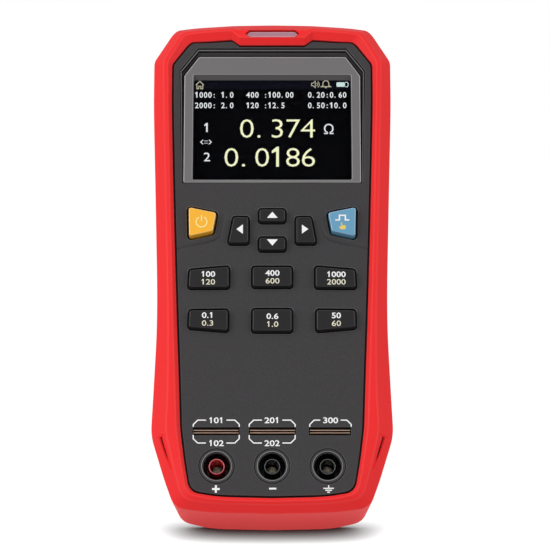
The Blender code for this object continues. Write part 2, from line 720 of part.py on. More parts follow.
def add_display(meter):
    """The clear window and, under it, the LCD panel, its tray, its carrier and its ribbon."""
    clear = mm_points(DISPLAY_CORNERS)
    place("display_window", prism(grown(clear, WINDOW_LAP), *WINDOW_Z), "window_clear", meter)
    place("lcd_panel", prism(grown(clear, LCD_LAP), *LCD_Z), "lcd_black", meter)
    place("lcd_backlight", prism(grown(clear, TRAY_LAP), *TRAY_Z), "steel", meter)
    frame = prism(grown(clear, CARRIER_LAP), ON_BOARD, TRAY_Z[0] - GAP)
    carrier = place("lcd_carrier", frame, "frame_white", meter)
    shape(carrier, "DIFFERENCE", [prism(clear, BOARD_Z[0], TRAY_Z[1])])
    path = [mm(*point) for point in RIBBON_PATH]
    place("lcd_ribbon", pulled_x(strip(path, GAP), -RIBBON_HALF, RIBBON_HALF), "copper", meter)


def add_indicator(meter):
    """The lens in the top of the holster with its light guide, and the lamp below."""
    lens = place("indicator_lens", prism(mm_points(LENS_CORNERS), *LENS_Z), "lens_grey", meter)
    shape(lens, "UNION", [box(*LIGHT_GUIDE)])
    place("indicator_lamp", box(*LAMP), "frame_white", meter)


# Keys

def add_keys(meter):
    """Each key: a cap with a flange under the panel and a plunger over the board."""
    flange_top = CEILING_Z - GAP
    flange_low = flange_top - KEY_FLANGE_THICKNESS
    top = PANEL_Z + KEY_RISE
    levels = [
        (-KEY_PLUNGER_INSET, BOARD_Z[1] + KEY_PLUNGER_GAP),
        (-KEY_PLUNGER_INSET, flange_low),
        (KEY_FLANGE, flange_low),
        (KEY_FLANGE, flange_top),
        (-KEY_CLEARANCE, flange_top),
        (-KEY_CLEARANCE, top - KEY_EDGE),
        (-KEY_CLEARANCE - KEY_EDGE * KEY_EDGE_BEND, top - KEY_EDGE * KEY_EDGE_BEND),
        (-KEY_CLEARANCE - KEY_EDGE, top),
    ]
    for name in KEY_NAMES:
        corners = mm_points(key_corners(name))
        middle = sum(corners, Vector((0.0, 0.0))) / len(corners)
        body = loft([flat_ring(key_ring(name, offset), z) for offset, z in levels])
        colour = KEY_COLOURS.get(name, "key_black")
        place(f"key_{name}", body, colour, meter, origin=(middle.x, middle.y, PANEL_Z))


def add_keypad_mat(meter):
    """The silicone sheet on the board, open under each key."""
    mat = place("keypad_mat", box(*MAT), "silicone", meter)
    holes = [prism(key_ring(name, GAP - KEY_PLUNGER_INSET), BOARD_Z[0], MAT[5] + PAST) for name in KEY_NAMES]
    shape(mat, "DIFFERENCE", holes)


# Sockets and slots

def add_jacks(meter):
    """Three shrouded sockets on their own board, wired to the main board."""
    board = place("jack_board", box(*JACK_BOARD), "board_green", meter)
    holes = [rod(TAIL_RADIUS + GAP, x, JACK_Y, JACK_BOARD[4] - PAST, JACK_BOARD[5] + PAST)
             for x in JACKS.values()]
    shape(board, "DIFFERENCE", holes)
    foot, rim = SLEEVE_Z
    flange_top = foot + SLEEVE_FLANGE_HEIGHT
    sleeve = [(SLEEVE_BORE, foot), (SLEEVE_FLANGE, foot), (SLEEVE_FLANGE, flange_top),
              (SLEEVE_RADIUS, flange_top), (SLEEVE_RADIUS, rim), (SLEEVE_BORE, rim)]
    low, mouth = CONTACT_Z
    contact = [(TAIL_RADIUS, TAIL_LOW_Z), (TAIL_RADIUS, low), (CONTACT_RADIUS, low),
               (CONTACT_RADIUS, mouth), (CONTACT_BORE, mouth), (CONTACT_BORE, low + CONTACT_FLOOR)]
    for name, x in JACKS.items():
        colour = "red" if name == "positive" else "black"
        place(f"jack_sleeve_{name}", turned(sleeve, x, JACK_Y, closed=True), f"jack_{colour}", meter)
        place(f"jack_contact_{name}", turned(contact, x, JACK_Y), "brass", meter)
        add_wire(f"jack_wire_{name}", x, JACK_WIRE_PATH, JACK_WIRE_RADIUS, f"wire_{colour}", meter)


def add_slots(meter):
    """The block under the test slots, with a pair of leaf contacts in each."""
    block = place("slot_block", box(*SLOT_BLOCK), "jack_black", meter)
    half = SLOT_HALF_WIDTH + GAP
    cuts = [box(*slot_span(name, GAP), SLOT_Y - half, SLOT_Y + half, BOARD_Z[0], PANEL_Z) for name in SLOTS]
    shape(block, "DIFFERENCE", cuts)
    for name in SLOTS:
        for word, hand in (("upper", 1), ("lower", -1)):
            path = [(SLOT_Y + hand * away * MM, z * MM) for away, z in LEAF_PATH]
            leaf = pulled_x(strip(path, LEAF_THICKNESS), *slot_span(name, -LEAF_END_GAP))
            place(f"contact_{name}_{word}", leaf, "copper", meter)


# Inside

def add_main_board(meter):
    """The board, its screws, and the larger things on it."""
    board = place("main_board", prism(mm_points(BOARD_CORNERS), *BOARD_Z), "board_green", meter)
    around = (BOARD_Z[0] - PAST, BOARD_Z[1] + PAST)
    cuts = [rod(BOSS_RADIUS + 2 * GAP, x, y, *around) for x, y in CASE_SCREW_PLACES]
    cuts += [rod(POST_HOLE, x, y, *around) for x, y in POST_PLACES]
    shape(board, "DIFFERENCE", cuts)
    screw = [(SMALL_HEAD, UNDER_BOARD - SMALL_HEAD_HEIGHT), (SMALL_HEAD, UNDER_BOARD),
             (SMALL_SHANK, UNDER_BOARD), (SMALL_SHANK, POST_HOLE_TOP_Z - PAST)]
    for word, (x, y) in zip(("left", "right"), POST_PLACES):
        place(f"board_screw_{word}", turned(screw, x, y, THIN_SIDES), "steel", meter)
    place("measuring_shield", box(*SHIELD), "steel", meter)
    place("processor_chip", box(*PROCESSOR), "jack_black", meter)
    place("usb_socket", box(*USB_SOCKET), "steel", meter)
    buzzer = rod(BUZZER_RADIUS, *BUZZER_PLACE, UNDER_BOARD - BUZZER_HEIGHT, UNDER_BOARD, ROUND_SIDES)
    place("buzzer", buzzer, "jack_black", meter)


def add_port_cover(meter):
    """The rubber plug that closes the opening over the charging socket."""
    x0, x1, _, _, z0, z1 = PORT
    cover = box(x0 + GAP, x1 - GAP, *COVER_Y, z0 + GAP, z1 - GAP)
    place("port_cover", cover, "holster_red", meter, origin=(0.0, sum(COVER_Y) / 2, (z0 + z1) / 2))


def add_battery(meter):
    """The flat pack in its bay, its lead to the board, and the screwed door."""
    pack = widened(BAY, -PACK_SPARE)
    place("battery_pack", box(*pack[:4], *PACK_Z), "cell_blue", meter)
    add_wire("battery_lead", LEAD_X, LEAD_PATH, LEAD_RADIUS, "wire_red", meter)
    door = place("battery_door", box(*DOOR), "rear_grey", meter)
    head_low, head_top = DOOR_SCREW_HEAD_Z
    seat = [(DOOR_SCREW_HEAD + GAP, DOOR[4] - PAST), (DOOR_SCREW_HEAD + GAP, head_top + GAP),
            (DOOR_SCREW_SHANK + GAP, head_top + GAP), (DOOR_SCREW_SHANK + GAP, DOOR[5] + PAST)]
    shape(door, "DIFFERENCE", [turned(seat, 0.0, DOOR_SCREW_Y, THIN_SIDES)])
    screw = [(DOOR_SCREW_HEAD, head_low), (DOOR_SCREW_HEAD, head_top), (DOOR_SCREW_SHANK, head_top),
             (DOOR_SCREW_SHANK, DOOR_SCREW_TIP_Z)]
    place("battery_door_screw", turned(screw, 0.0, DOOR_SCREW_Y, THIN_SIDES), "steel", meter)


# Stand

def stand_profile():
    """The side of the stand, folded down from its hinge, its foot cut to lie flat on the floor."""
    swing = STAND_OPEN - LEAN
    rise = HINGE_Y * math.cos(LEAN) + HINGE_Z * math.sin(LEAN) - GROUND
    rear, front = STAND_PLATE_Z
    start = -math.pi / 2
    sweep = math.pi * 1.5 - math.asin(front / BARREL_RADIUS)
    turns = [start + sweep * i / BARREL_STEPS for i in range(BARREL_STEPS + 1)]
    barrel = [(BARREL_RADIUS * math.cos(t), BARREL_RADIUS * math.sin(t)) for t in turns]
    foot = [((z * math.sin(swing) - rise) / math.cos(swing), z) for z in (front, rear)]
    return barrel + foot


def add_stand(meter):
    """The kickstand, open on the floor, and the pin it turns on."""
    pivot = link("stand_pivot", None, meter)
    pivot.location = (0.0, HINGE_Y, HINGE_Z)
    pivot.rotation_euler.x = STAND_OPEN
    profile = stand_profile()
    foot_y = min(y for y, _ in profile)
    stand = place("kickstand", pulled_x(profile, -STAND_HALF, STAND_HALF), "rear_grey", pivot)
    wide = STAND_HALF + PAST
    plan = [(-wide, STAND_SHOULDER), (wide, STAND_SHOULDER), (wide, -STAND_SHOULDER),
            (STAND_FOOT_HALF, foot_y - PAST), (-STAND_FOOT_HALF, foot_y - PAST), (-wide, -STAND_SHOULDER)]
    shape(stand, "INTERSECT", [prism([Vector(p) for p in plan], -STAND_SHOULDER, STAND_SHOULDER)])
    notch = box(-NOTCH_HALF, NOTCH_HALF, foot_y - PAST, foot_y + NOTCH_DEPTH, -STAND_SHOULDER, STAND_SHOULDER)
    shape(stand, "DIFFERENCE", [cross_rod(PIN_RADIUS + GAP, 0.0, 0.0, wide), notch])
    place("stand_pin", cross_rod(PIN_RADIUS, HINGE_Y, HINGE_Z, PIN_HALF), "steel", meter)


def stand_on_floor(meter):
    """Lean the meter back and put the middle of its footprint on the origin."""
    meter.rotation_euler.x = math.pi / 2 - LEAN
    bpy.context.view_layer.update()
    shown = [thing for thing in bpy.data.objects if thing.type == "MESH" and not thing.hide_render]
    graph = bpy.context.evaluated_depsgraph_get()
    depths = []
    for thing in shown:
        ready = thing.evaluated_get(graph)
        depths += [(ready.matrix_world @ vertex.co).y for vertex in ready.data.vertices]
    meter.location = (0.0, -(min(depths) + max(depths)) / 2, -GROUND)


def build():
    """Make every sub-part and stand the meter up."""
    clear_scene()
    meter = link("meter", None, None)
    add_holster(meter)
    add_front_shell(meter)
    add_rear_shell(meter)
    add_case_screws(meter)
    add_bezel(meter)
    add_display(meter)
    add_indicator(meter)
    add_keys(meter)
    add_keypad_mat(meter)
    add_jacks(meter)
    add_slots(meter)
    add_main_board(meter)
    add_port_cover(meter)
    add_battery(meter)
    add_stand(meter)
    stand_on_floor(meter)


build()
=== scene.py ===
# %% [markdown]
# # A handheld component tester in a red holster
# This lesson dresses a finished CAD model for a studio picture. The model is loaded first and stays as it
# is. Every piece made below sits where the model says, and moves with the model's own bodies.

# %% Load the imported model
import json
import math
from collections import namedtuple

import bmesh
import bpy
from mathutils import Matrix, Vector
from mathutils.bvhtree import BVHTree


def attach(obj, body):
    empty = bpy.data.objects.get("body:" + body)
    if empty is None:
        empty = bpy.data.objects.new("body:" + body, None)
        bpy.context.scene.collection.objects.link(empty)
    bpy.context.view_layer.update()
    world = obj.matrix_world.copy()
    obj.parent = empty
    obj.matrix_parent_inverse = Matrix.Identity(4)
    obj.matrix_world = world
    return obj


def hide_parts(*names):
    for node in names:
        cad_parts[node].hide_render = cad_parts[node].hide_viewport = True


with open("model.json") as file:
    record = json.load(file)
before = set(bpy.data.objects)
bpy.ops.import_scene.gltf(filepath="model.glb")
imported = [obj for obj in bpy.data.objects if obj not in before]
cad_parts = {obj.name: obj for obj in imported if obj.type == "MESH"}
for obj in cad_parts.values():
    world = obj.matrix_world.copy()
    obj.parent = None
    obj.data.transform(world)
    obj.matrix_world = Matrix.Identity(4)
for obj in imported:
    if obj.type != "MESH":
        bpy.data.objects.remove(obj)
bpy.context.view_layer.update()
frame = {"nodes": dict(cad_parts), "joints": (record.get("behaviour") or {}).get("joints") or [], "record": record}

# %% [markdown]
# ## The meter's own axes
# The meter leans back on its stand, so nothing on its panel is level. It is far easier to draw in the
# meter's own axes: x to the right, y up the panel from the bottom end, z out of the panel, in millimetres.
# The model's joints say where those axes lie: the port cover slides up the panel, a key slides into it,
# and the stand turns about a pin whose place on the meter is known. One matrix holds all of that.

# %% One matrix from millimetres on the meter to metres in the world
MM = 0.001
HINGE = Vector((0.0, 124.0, 4.6))
JOINTS = {joint["name"]: joint for joint in frame["joints"]}
UP = Vector(JOINTS["port_cover_pull"]["axis"]).normalized()
OUT = -Vector(JOINTS["power_press"]["axis"]).normalized()
RIGHT = UP.cross(OUT)
TURN = Matrix((RIGHT, UP, OUT)).transposed()
METER = (Matrix.Translation(JOINTS["stand_fold"]["pos_m"]) @ TURN.to_4x4() @ Matrix.Scale(MM, 4)
         @ Matrix.Translation(-HINGE))
BODY = "case"
print("bottom end of the meter:", [round(v, 4) for v in METER.translation])

# %% [markdown]
# ## Camera
# The photograph was taken from a little below the panel's normal, through a long lens. The camera is
# placed in the meter's axes, so it stays right if the model is ever stood at another angle.

# %% Camera
PANEL_Z = 38.4
AIM = Vector((1.03, 88.4, PANEL_Z))
DISTANCE = 1000.0
BELOW_NORMAL = math.radians(17.0)
SENSOR = 36.0
FRAME_WIDTH_AT_AIM = 202.2
CLIP_START = 0.05

sight = Vector((0.0, -math.sin(BELOW_NORMAL), math.cos(BELOW_NORMAL)))
over = Vector((0.0, math.cos(BELOW_NORMAL), math.sin(BELOW_NORMAL)))
camera_data = bpy.data.cameras.new("camera")
camera_data.sensor_width = SENSOR
camera_data.lens = SENSOR * DISTANCE / FRAME_WIDTH_AT_AIM
camera_data.clip_start = CLIP_START
camera = bpy.data.objects.new("camera", camera_data)
bpy.context.scene.collection.objects.link(camera)
looking = Matrix((RIGHT, TURN @ over, TURN @ sight)).transposed().to_4x4()
camera.matrix_world = Matrix.Translation(METER @ (AIM + sight * DISTANCE)) @ looking
bpy.context.scene.camera = camera
bpy.context.scene.view_settings.view_transform = "Standard"
print("lens:", round(camera_data.lens, 1), "mm")

# %% [markdown]
# ## Nodes
# Finishes, lights and the shapes that repeat are all made of nodes. A few helpers make a node, set it up
# and wire it in one line: what is given for an input is either a value or another node's output.

# %% Node helpers
def feed(tree, node, inputs):
    """Set a node's inputs, by name or number, to values or to the outputs of other nodes."""
    for name, value in inputs.items():
        if isinstance(value, bpy.types.NodeSocket):
            tree.links.new(value, node.inputs[name])
        else:
            node.inputs[name].default_value = value


def add_node(tree, kind, inputs=None, **settings):
    """A node with its settings and its inputs."""
    node = tree.nodes.new(kind)
    for name, value in settings.items():
        setattr(node, name, value)
    feed(tree, node, inputs or {})
    return node


def calc(tree, operation, *values):
    """The result of a sum, a product or the like."""
    return add_node(tree, "ShaderNodeMath", dict(enumerate(values)), operation=operation).outputs[0]


def spread(tree, value, low, high):
    """A value from nought to one, spread between two others."""
    return add_node(tree, "ShaderNodeMapRange", {"Value": value, "To Min": low, "To Max": high}).outputs[0]


def scaled(tree, vector, factor):
    """A colour times a factor."""
    return add_node(tree, "ShaderNodeVectorMath", {0: vector, "Scale": factor}, operation="SCALE").outputs[0]


def node_group(name, kind, inputs, outputs):
    """A node group with named sockets: the group, what it is given, and the node that takes its results."""
    group = bpy.data.node_groups.new(name, kind)
    for way, sockets in (("INPUT", inputs), ("OUTPUT", outputs)):
        for socket, sort in sockets.items():
            group.interface.new_socket(socket, in_out=way, socket_type=f"NodeSocket{sort}")
    return group, add_node(group, "NodeGroupInput").outputs, add_node(group, "NodeGroupOutput")


def new_material(name):
    """A new material, its node tree and its Principled shader."""
    made = bpy.data.materials.new(name)
    made.use_nodes = True
    return made, made.node_tree, made.node_tree.nodes["Principled BSDF"]


print("node helpers ready")

# %% [markdown]
# ## Floor and light
# A plain white sweep with soft boxes round it. For the camera the floor glows, so it reads as white paper
# without more light on the meter. The glow dies where the meter hangs close over the floor, which leaves
# the grey contact shadow of the photograph. In the photograph the meter's lower end is evenly lit right down
# to the floor. So the floor keeps no light from the meter, and a soft box below it stands for the light that
# white paper throws up.

# %% Floor
FLOOR_HALF = 6.0
FLOOR_GREY = 0.05
FLOOR_ROUGHNESS = 0.9
FLOOR_GLOW = 0.98
SHADOW_REACH = 0.009
SHADOW_CORE = 0.05
WHITE = (1.0, 1.0, 1.0, 1.0)


def white_rays(tree):
    """One for rays from the camera, mirrors and glass, and nought for light that falls on things."""
    path = add_node(tree, "ShaderNodeLightPath").outputs
    seen = calc(tree, "MAXIMUM", path["Is Camera Ray"], path["Is Glossy Ray"])
    return calc(tree, "MAXIMUM", seen, path["Is Transmission Ray"])


def floor_finish():
    """Matt white paper that glows for the camera, except where something hangs close over it."""
    made, tree, shader = new_material("floor_paper")
    sky = add_node(tree, "ShaderNodeAmbientOcclusion", {"Distance": SHADOW_REACH}).outputs["AO"]
    range_of_glow = {"Value": sky, "From Min": SHADOW_CORE, "To Max": FLOOR_GLOW}
    glow = add_node(tree, "ShaderNodeMapRange", range_of_glow).outputs["Result"]
    feed(tree, shader, {"Base Color": (FLOOR_GREY, FLOOR_GREY, FLOOR_GREY, 1.0), "Roughness": FLOOR_ROUGHNESS,
                        "Specular IOR Level": 0.0, "Emission Color": WHITE,
                        "Emission Strength": calc(tree, "MULTIPLY", white_rays(tree), glow)})
    return made


floor_mesh = bpy.data.meshes.new("floor")
corners = [(FLOOR_HALF * x, FLOOR_HALF * y, 0.0) for x, y in ((-1, -1), (1, -1), (1, 1), (-1, 1))]
floor_mesh.from_pydata(corners, [], [(0, 1, 2, 3)])
floor_mesh.materials.append(floor_finish())
floor = bpy.data.objects.new("floor", floor_mesh)
floor.visible_diffuse = False
floor.visible_shadow = False
bpy.context.scene.collection.objects.link(floor)
print("floor:", 2 * FLOOR_HALF, "m wide")

# %% Light
WORLD_LIGHT = 0.42
LAMP_TARGET = Vector((0.0, 0.0, 0.09))
Lamp = namedtuple("Lamp", "name place width height power")
LAMPS = [
    Lamp("left_box", (-0.75, -0.5, 0.45), 0.5, 0.9, 5.6),
    Lamp("right_box", (0.8, -0.45, 0.4), 0.4, 0.8, 3.2),
    Lamp("front_box", (0.0, -0.95, 0.06), 0.9, 0.1, 0.7),
    Lamp("top_box", (0.0, -0.35, 0.95), 0.9, 0.5, 0.2),
    Lamp("under_box", (0.0, 0.25, -0.9), 1.2, 1.2, 3.8),
]


def add_lamp(lamp):
    """A soft box that faces the meter."""
    data = bpy.data.lights.new(lamp.name, "AREA")
    data.shape = "RECTANGLE"
    data.size = lamp.width
    data.size_y = lamp.height
    data.energy = lamp.power
    box = bpy.data.objects.new(lamp.name, data)
    box.location = lamp.place
    box.rotation_euler = (LAMP_TARGET - Vector(lamp.place)).to_track_quat("-Z", "Y").to_euler()
    bpy.context.scene.collection.objects.link(box)


for lamp in LAMPS:
    add_lamp(lamp)

world = bpy.data.worlds.new("studio")
world.use_nodes = True
bpy.context.scene.world = world
sky_tree = world.node_tree
sky_strength = spread(sky_tree, white_rays(sky_tree), WORLD_LIGHT, 1.0)
feed(sky_tree, sky_tree.nodes["Background"], {"Color": WHITE, "Strength": sky_strength})
print("lamps:", [lamp.name for lamp in LAMPS])

# %% [markdown]
# ## Outlines
# Most of the meter is made of flat outlines: key holes, the bezel, the panel. Two helpers do nearly all
# the work. One moves every edge of an outline in or out, the other turns its corners into arcs.

# %% Outline helpers
ROUND_SIDES = 64


def flat(corners):
    """Corner pairs as flat points."""
    return [Vector(corner) for corner in corners]


def box_outline(x0, x1, y0, y1):
    """The four corners of an upright rectangle."""
    return flat([(x0, y0), (x1, y0), (x1, y1), (x0, y1)])


def both_sides(corners):
    """The right-hand corners of a shape, given from bottom to top, closed by their mirror image."""
    return flat(corners) + [Vector((-x, y)) for x, y in reversed(corners)]


def moved(points, distance):
    """An outline with every edge moved outwards, or inwards when the distance is negative."""
    count = len(points)
    area = sum(points[i].cross(points[(i + 1) % count]) for i in range(count))
    side = 1.0 if area > 0 else -1.0
    normals = []
    for i in range(count):
        run = (points[(i + 1) % count] - points[i]).normalized()
        normals.append(Vector((run.y, -run.x)) * side)
    found = []
    for i in range(count):
        before, after = normals[i - 1], normals[i]
        found.append(points[i] + (before + after) * distance / (1.0 + before.dot(after)))
    return found


def filleted(points, radius, steps=6):
    """An outline with every corner turned into an arc of this radius."""
    found = []
    count = len(points)
    for i in range(count):
        corner = points[i]
        back = (points[i - 1] - corner).normalized()
        ahead = (points[(i + 1) % count] - corner).normalized()
        half = back.angle(ahead) / 2
        centre = corner + (back + ahead).normalized() * radius / math.sin(half)
        start = corner + back * radius / math.tan(half) - centre
        end = corner + ahead * radius / math.tan(half) - centre
        turn = start.angle_signed(end)
        for step in range(steps + 1):
            found.append(centre + Matrix.Rotation(-turn * step / steps, 2) @ start)
    return found


def holds(outline, point):
    """Whether a point lies inside an outline."""
    inside = False
    for a, b in zip(outline, outline[1:] + outline[:1]):
        if (a.y > point.y) != (b.y > point.y):
            inside ^= point.x < a.x + (b.x - a.x) * (point.y - a.y) / (b.y - a.y)
    return inside


def circle(radius, x, y):
    """Points round a circle."""
    turns = [2 * math.pi * i / ROUND_SIDES for i in range(ROUND_SIDES)]
    return [Vector((x + radius * math.cos(t), y + radius * math.sin(t))) for t in turns]


def level(points, z):
    """A flat outline lifted to a height."""
    return [Vector((p.x, p.y, z)) for p in points]


print("a 10 mm square moved out by 1 mm:", [tuple(p) for p in moved(box_outline(0, 10, 0, 10), 1.0)])

# %% [markdown]
# ## Bodies
# A plate with holes is the shape that a mesh kit makes least well, so it is built by hand: every edge,
# outside or hole, is a stack of rings, and the flat top and bottom are filled between the end rings.
# Rounded edges come from the rings themselves, so no modifier is needed for them.

# %% Body helpers
FAR_ABOVE = 100.0
CUT_CLEAR = 1.5
EASE_ANGLE = math.radians(30.0)
EASE_SEGMENTS = 3


def skin(body, rings, closed=False):
    """Quads between rings of equally many points; returns the first and the last ring's vertices."""
    loops = [[body.verts.new(point) for point in ring] for ring in rings]
    pairs = list(zip(loops, loops[1:]))
    if closed:
        pairs.append((loops[-1], loops[0]))
    for low, high in pairs:
        for i in range(len(low)):
            j = (i + 1) % len(low)
            body.faces.new((low[i], low[j], high[j], high[i]))
    return loops[0], loops[-1]


def loft(rings, closed=False):
    """A body through rings, capped at both ends or joined end to end."""
    body = bmesh.new()
    first, last = skin(body, rings, closed)
    if not closed:
        body.faces.new(first)
        body.faces.new(last)
    bmesh.ops.recalc_face_normals(body, faces=body.faces)
    return body


def ring_edges(body, loop):
    """The edges of a ring of vertices."""
    return [body.edges.get((loop[i], loop[(i + 1) % len(loop)])) for i in range(len(loop))]


def walled(stacks):
    """A plate from stacks of rings: the outside first, then the holes, each from bottom to top."""
    body = bmesh.new()
    ends = [skin(body, rings) for rings in stacks]
    for loops in zip(*ends):
        edges = [edge for loop in loops for edge in ring_edges(body, loop)]
        bmesh.ops.triangle_fill(body, use_beauty=True, use_dissolve=False, edges=edges)
    bmesh.ops.recalc_face_normals(body, faces=body.faces)
    return body


def rounded_rings(points, low, high, edge, hole=False, steps=3):
    """Rings up a wall whose top edge is rounded over."""
    side = 1.0 if hole else -1.0
    rings = [level(points, low)]
    for step in range(steps + 1):
        turn = math.pi / 2 * step / steps
        inset = moved(points, side * edge * (1 - math.cos(turn)))
        rings.append(level(inset, high - edge * (1 - math.sin(turn))))
    return rings


def turned(profile, x, y, closed=True):
    """A turned body from radius and height pairs."""
    return loft([level(circle(radius, x, y), z) for radius, z in profile], closed)


def block(x0, x1, y0, y1, z0, z1):
    """A plain block, used for cutting."""
    return loft([level(box_outline(x0, x1, y0, y1), z) for z in (z0, z1)])


def height_over(mesh):
    """A function that tells how high a mesh reaches at a flat point."""
    body = bmesh.new()
    body.from_mesh(mesh)
    tree = BVHTree.FromBMesh(body)
    body.free()
    return lambda point: tree.ray_cast(Vector((*point, FAR_ABOVE)), Vector((0.0, 0.0, -1.0)))[0].z


def along_path(points):
    """Every point of a path with the unit vector across the path there."""
    last = len(points) - 1
    for i, point in enumerate(points):
        run = (points[min(i + 1, last)] - points[max(i - 1, 0)]).normalized()
        yield point, Vector((-run.y, run.x))


def v_cutter(path, halves, depths, top_of):
    """A cutter with a V-shaped section along a path that lies on a surface."""
    rings = []
    for (point, across), half, depth in zip(along_path(flat(path)), halves, depths):
        left, right = point - across * half, point + across * half
        rings.append([Vector((*left, top_of(left))), Vector((*point, top_of(point) - depth)),
                      Vector((*right, top_of(right))), Vector((*right, top_of(right) + CUT_CLEAR)),
                      Vector((*left, top_of(left) + CUT_CLEAR))])
    return loft(rings)


def joined(bodies):
    """Several bodies in one mesh."""
    whole = bmesh.new()
    for body in bodies:
        part = bpy.data.meshes.new("part")
        body.to_mesh(part)
        body.free()
        whole.from_mesh(part)
        bpy.data.meshes.remove(part)
    mesh = bpy.data.meshes.new("joined")
    whole.to_mesh(mesh)
    whole.free()
    return mesh


def evaluated(obj):
    """A plain mesh of an object with its modifiers applied; the object goes."""
    bpy.context.view_layer.update()
    ready = obj.evaluated_get(bpy.context.evaluated_depsgraph_get())
    mesh = bpy.data.meshes.new_from_object(ready)
    bpy.data.objects.remove(obj, do_unlink=True)
    return mesh


def bench(data):
    """A mesh or a text put in the scene for a moment, so that Blender can work on it."""
    obj = bpy.data.objects.new("bench", data)
    bpy.context.scene.collection.objects.link(obj)
    return obj


def carved(mesh, cutters):
    """A mesh with other bodies cut out of it."""
    obj = bench(mesh)
    tool = bench(joined(cutters))
    step = obj.modifiers.new("cut", "BOOLEAN")
    step.operation = "DIFFERENCE"
    step.solver = "EXACT"
    step.use_self = True
    step.object = tool
    result = evaluated(obj)
    bpy.data.objects.remove(tool, do_unlink=True)
    return result


def eased(mesh, width):
    """A mesh with its sharp edges rounded."""
    obj = bench(mesh)
    step = obj.modifiers.new("ease", "BEVEL")
    step.width = width
    step.segments = EASE_SEGMENTS
    step.limit_method = "ANGLE"
    step.angle_limit = EASE_ANGLE
    step.use_clamp_overlap = True
    return evaluated(obj)


print("body helpers ready")

# %% [markdown]
# ## Putting a piece in the scene
# A finished piece keeps its object at the origin and its place in its mesh. It is shaded smooth, with
# sharp edges kept, and large flat faces keep straight normals. The narrow faces that round an edge are
# marked with a face attribute, which the finishes read: they paint those faces paler, partly for rubbing
# from handling and partly as a painted highlight where light would catch the rounding.

# %% Piece helper
SHARP = math.radians(32.0)
EDGE_WIDTH = 0.5
EDGE_TILT = (0.25, 0.985)


def mark_edges(mesh, lower_highlight=1.0):
    """Mark faces that round an edge for rubbing and painted highlight; downward ones may get less highlight."""
    mark = mesh.attributes.new("edge", "FLOAT", "FACE")
    for face in mesh.polygons:
        corners = [mesh.vertices[i].co for i in face.vertices]
        longest = max((a - b).length for a, b in zip(corners, corners[1:] + corners[:1]))
        tilted = EDGE_TILT[0] < abs(face.normal.z) < EDGE_TILT[1]
        # Edges that face down, away from the lamps, take less painted highlight.
        rubbing_and_highlight = lower_highlight if face.normal.y < -EDGE_TILT[0] else 1.0
        mark.data[face.index].value = rubbing_and_highlight * float(tilted and face.area < EDGE_WIDTH * longest)


def add_piece(name, shape, finish, body=BODY, nodes=()):
    """Place a mesh or bodies drawn on the meter, give them a finish and let them ride on a body."""
    mesh = joined(shape) if isinstance(shape, list) else shape
    if "edge" not in mesh.attributes:
        mark_edges(mesh)
    mesh.transform(METER)
    mesh.name = name
    mesh.materials.clear()
    mesh.materials.append(finish.material)
    mesh.shade_smooth()
    mesh.set_sharp_from_angle(angle=SHARP)
    piece = bpy.data.objects.new(name, mesh)
    bpy.context.scene.collection.objects.link(piece)
    step = piece.modifiers.new("normals", "WEIGHTED_NORMAL")
    step.keep_sharp = True
    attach(piece, body)
    if nodes:
        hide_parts(*nodes)


print("piece helper ready")

# %% [markdown]
# ## Finishes
# The holster is satin rubber, the panel is moulded plastic with a fine spark-eroded grain, and the metal
# inside the sockets is turned. One node group gives all moulded pieces their grain and their slight
# unevenness of tone; another gives metal its drawn lines. Each material sets its own sizes.

# %% Shader groups
SHADER = "ShaderNodeTree"
SURFACE = {"Color": "Color", "Roughness": "Float", "Height": "Float"}
# Where a Mix node keeps its factor, its two colours and its result
MIX_FACTOR, MIX_FROM, MIX_TO, MIX_RESULT = 0, 6, 7, 2
GRAIN_DETAIL, CLOUD_DETAIL, LINE_DETAIL = 3.0, 4.0, 2.0
CLOUD_SCALE = 40.0
HALFWAY = 0.5
MOULDED_ROUGHNESS = (0.8, 1.2)
METAL_TONE = (0.7, 1.3)


def object_place(group):
    """Object coordinates."""
    return add_node(group, "ShaderNodeTexCoord").outputs["Object"]


def noise(group, place, scale, detail):
    """The value of a noise texture at a place."""
    inputs = {"Vector": place, "Scale": scale, "Detail": detail}
    return add_node(group, "ShaderNodeTexNoise", inputs).outputs["Fac"]


def moulded_group():
    """Tone, roughness and relief of a moulded surface."""
    group, given, result = node_group("moulded_surface", SHADER, {
        "Color": "Color", "Mottle": "Float", "Speckle": "Float", "Roughness": "Float", "Grain Size": "Float",
        "Edge Color": "Color", "Edge Wear": "Float"}, SURFACE)
    place = object_place(group)
    grain = noise(group, place, calc(group, "DIVIDE", 1.0, given["Grain Size"]), GRAIN_DETAIL)
    cloud = noise(group, place, CLOUD_SCALE, CLOUD_DETAIL)
    clouds = calc(group, "MULTIPLY", calc(group, "SUBTRACT", cloud, HALFWAY), given["Mottle"])
    dots = calc(group, "MULTIPLY_ADD", calc(group, "SUBTRACT", grain, HALFWAY), given["Speckle"], clouds)
    tone = scaled(group, given["Color"], calc(group, "ADD", dots, 1.0))
    # Rounded edges are mixed towards the edge colour: partly rubbing from handling, partly a painted highlight.
    rubbing_and_highlight = calc(group, "MULTIPLY", calc(group, "ADD", cloud, HALFWAY), given["Edge Wear"])
    edge = add_node(group, "ShaderNodeAttribute", attribute_name="edge").outputs["Fac"]
    rubbing_and_highlight_mask = add_node(group, "ShaderNodeMath", {0: rubbing_and_highlight, 1: edge}, operation="MULTIPLY", use_clamp=True)
    blend = add_node(group, "ShaderNodeMix", data_type="RGBA")
    feed(group, blend, {MIX_FACTOR: rubbing_and_highlight_mask.outputs[0], MIX_FROM: tone, MIX_TO: given["Edge Color"]})
    rough = calc(group, "MULTIPLY", spread(group, grain, *MOULDED_ROUGHNESS), given["Roughness"])
    feed(group, result, {"Color": blend.outputs[MIX_RESULT], "Roughness": rough, "Height": grain})
    return group


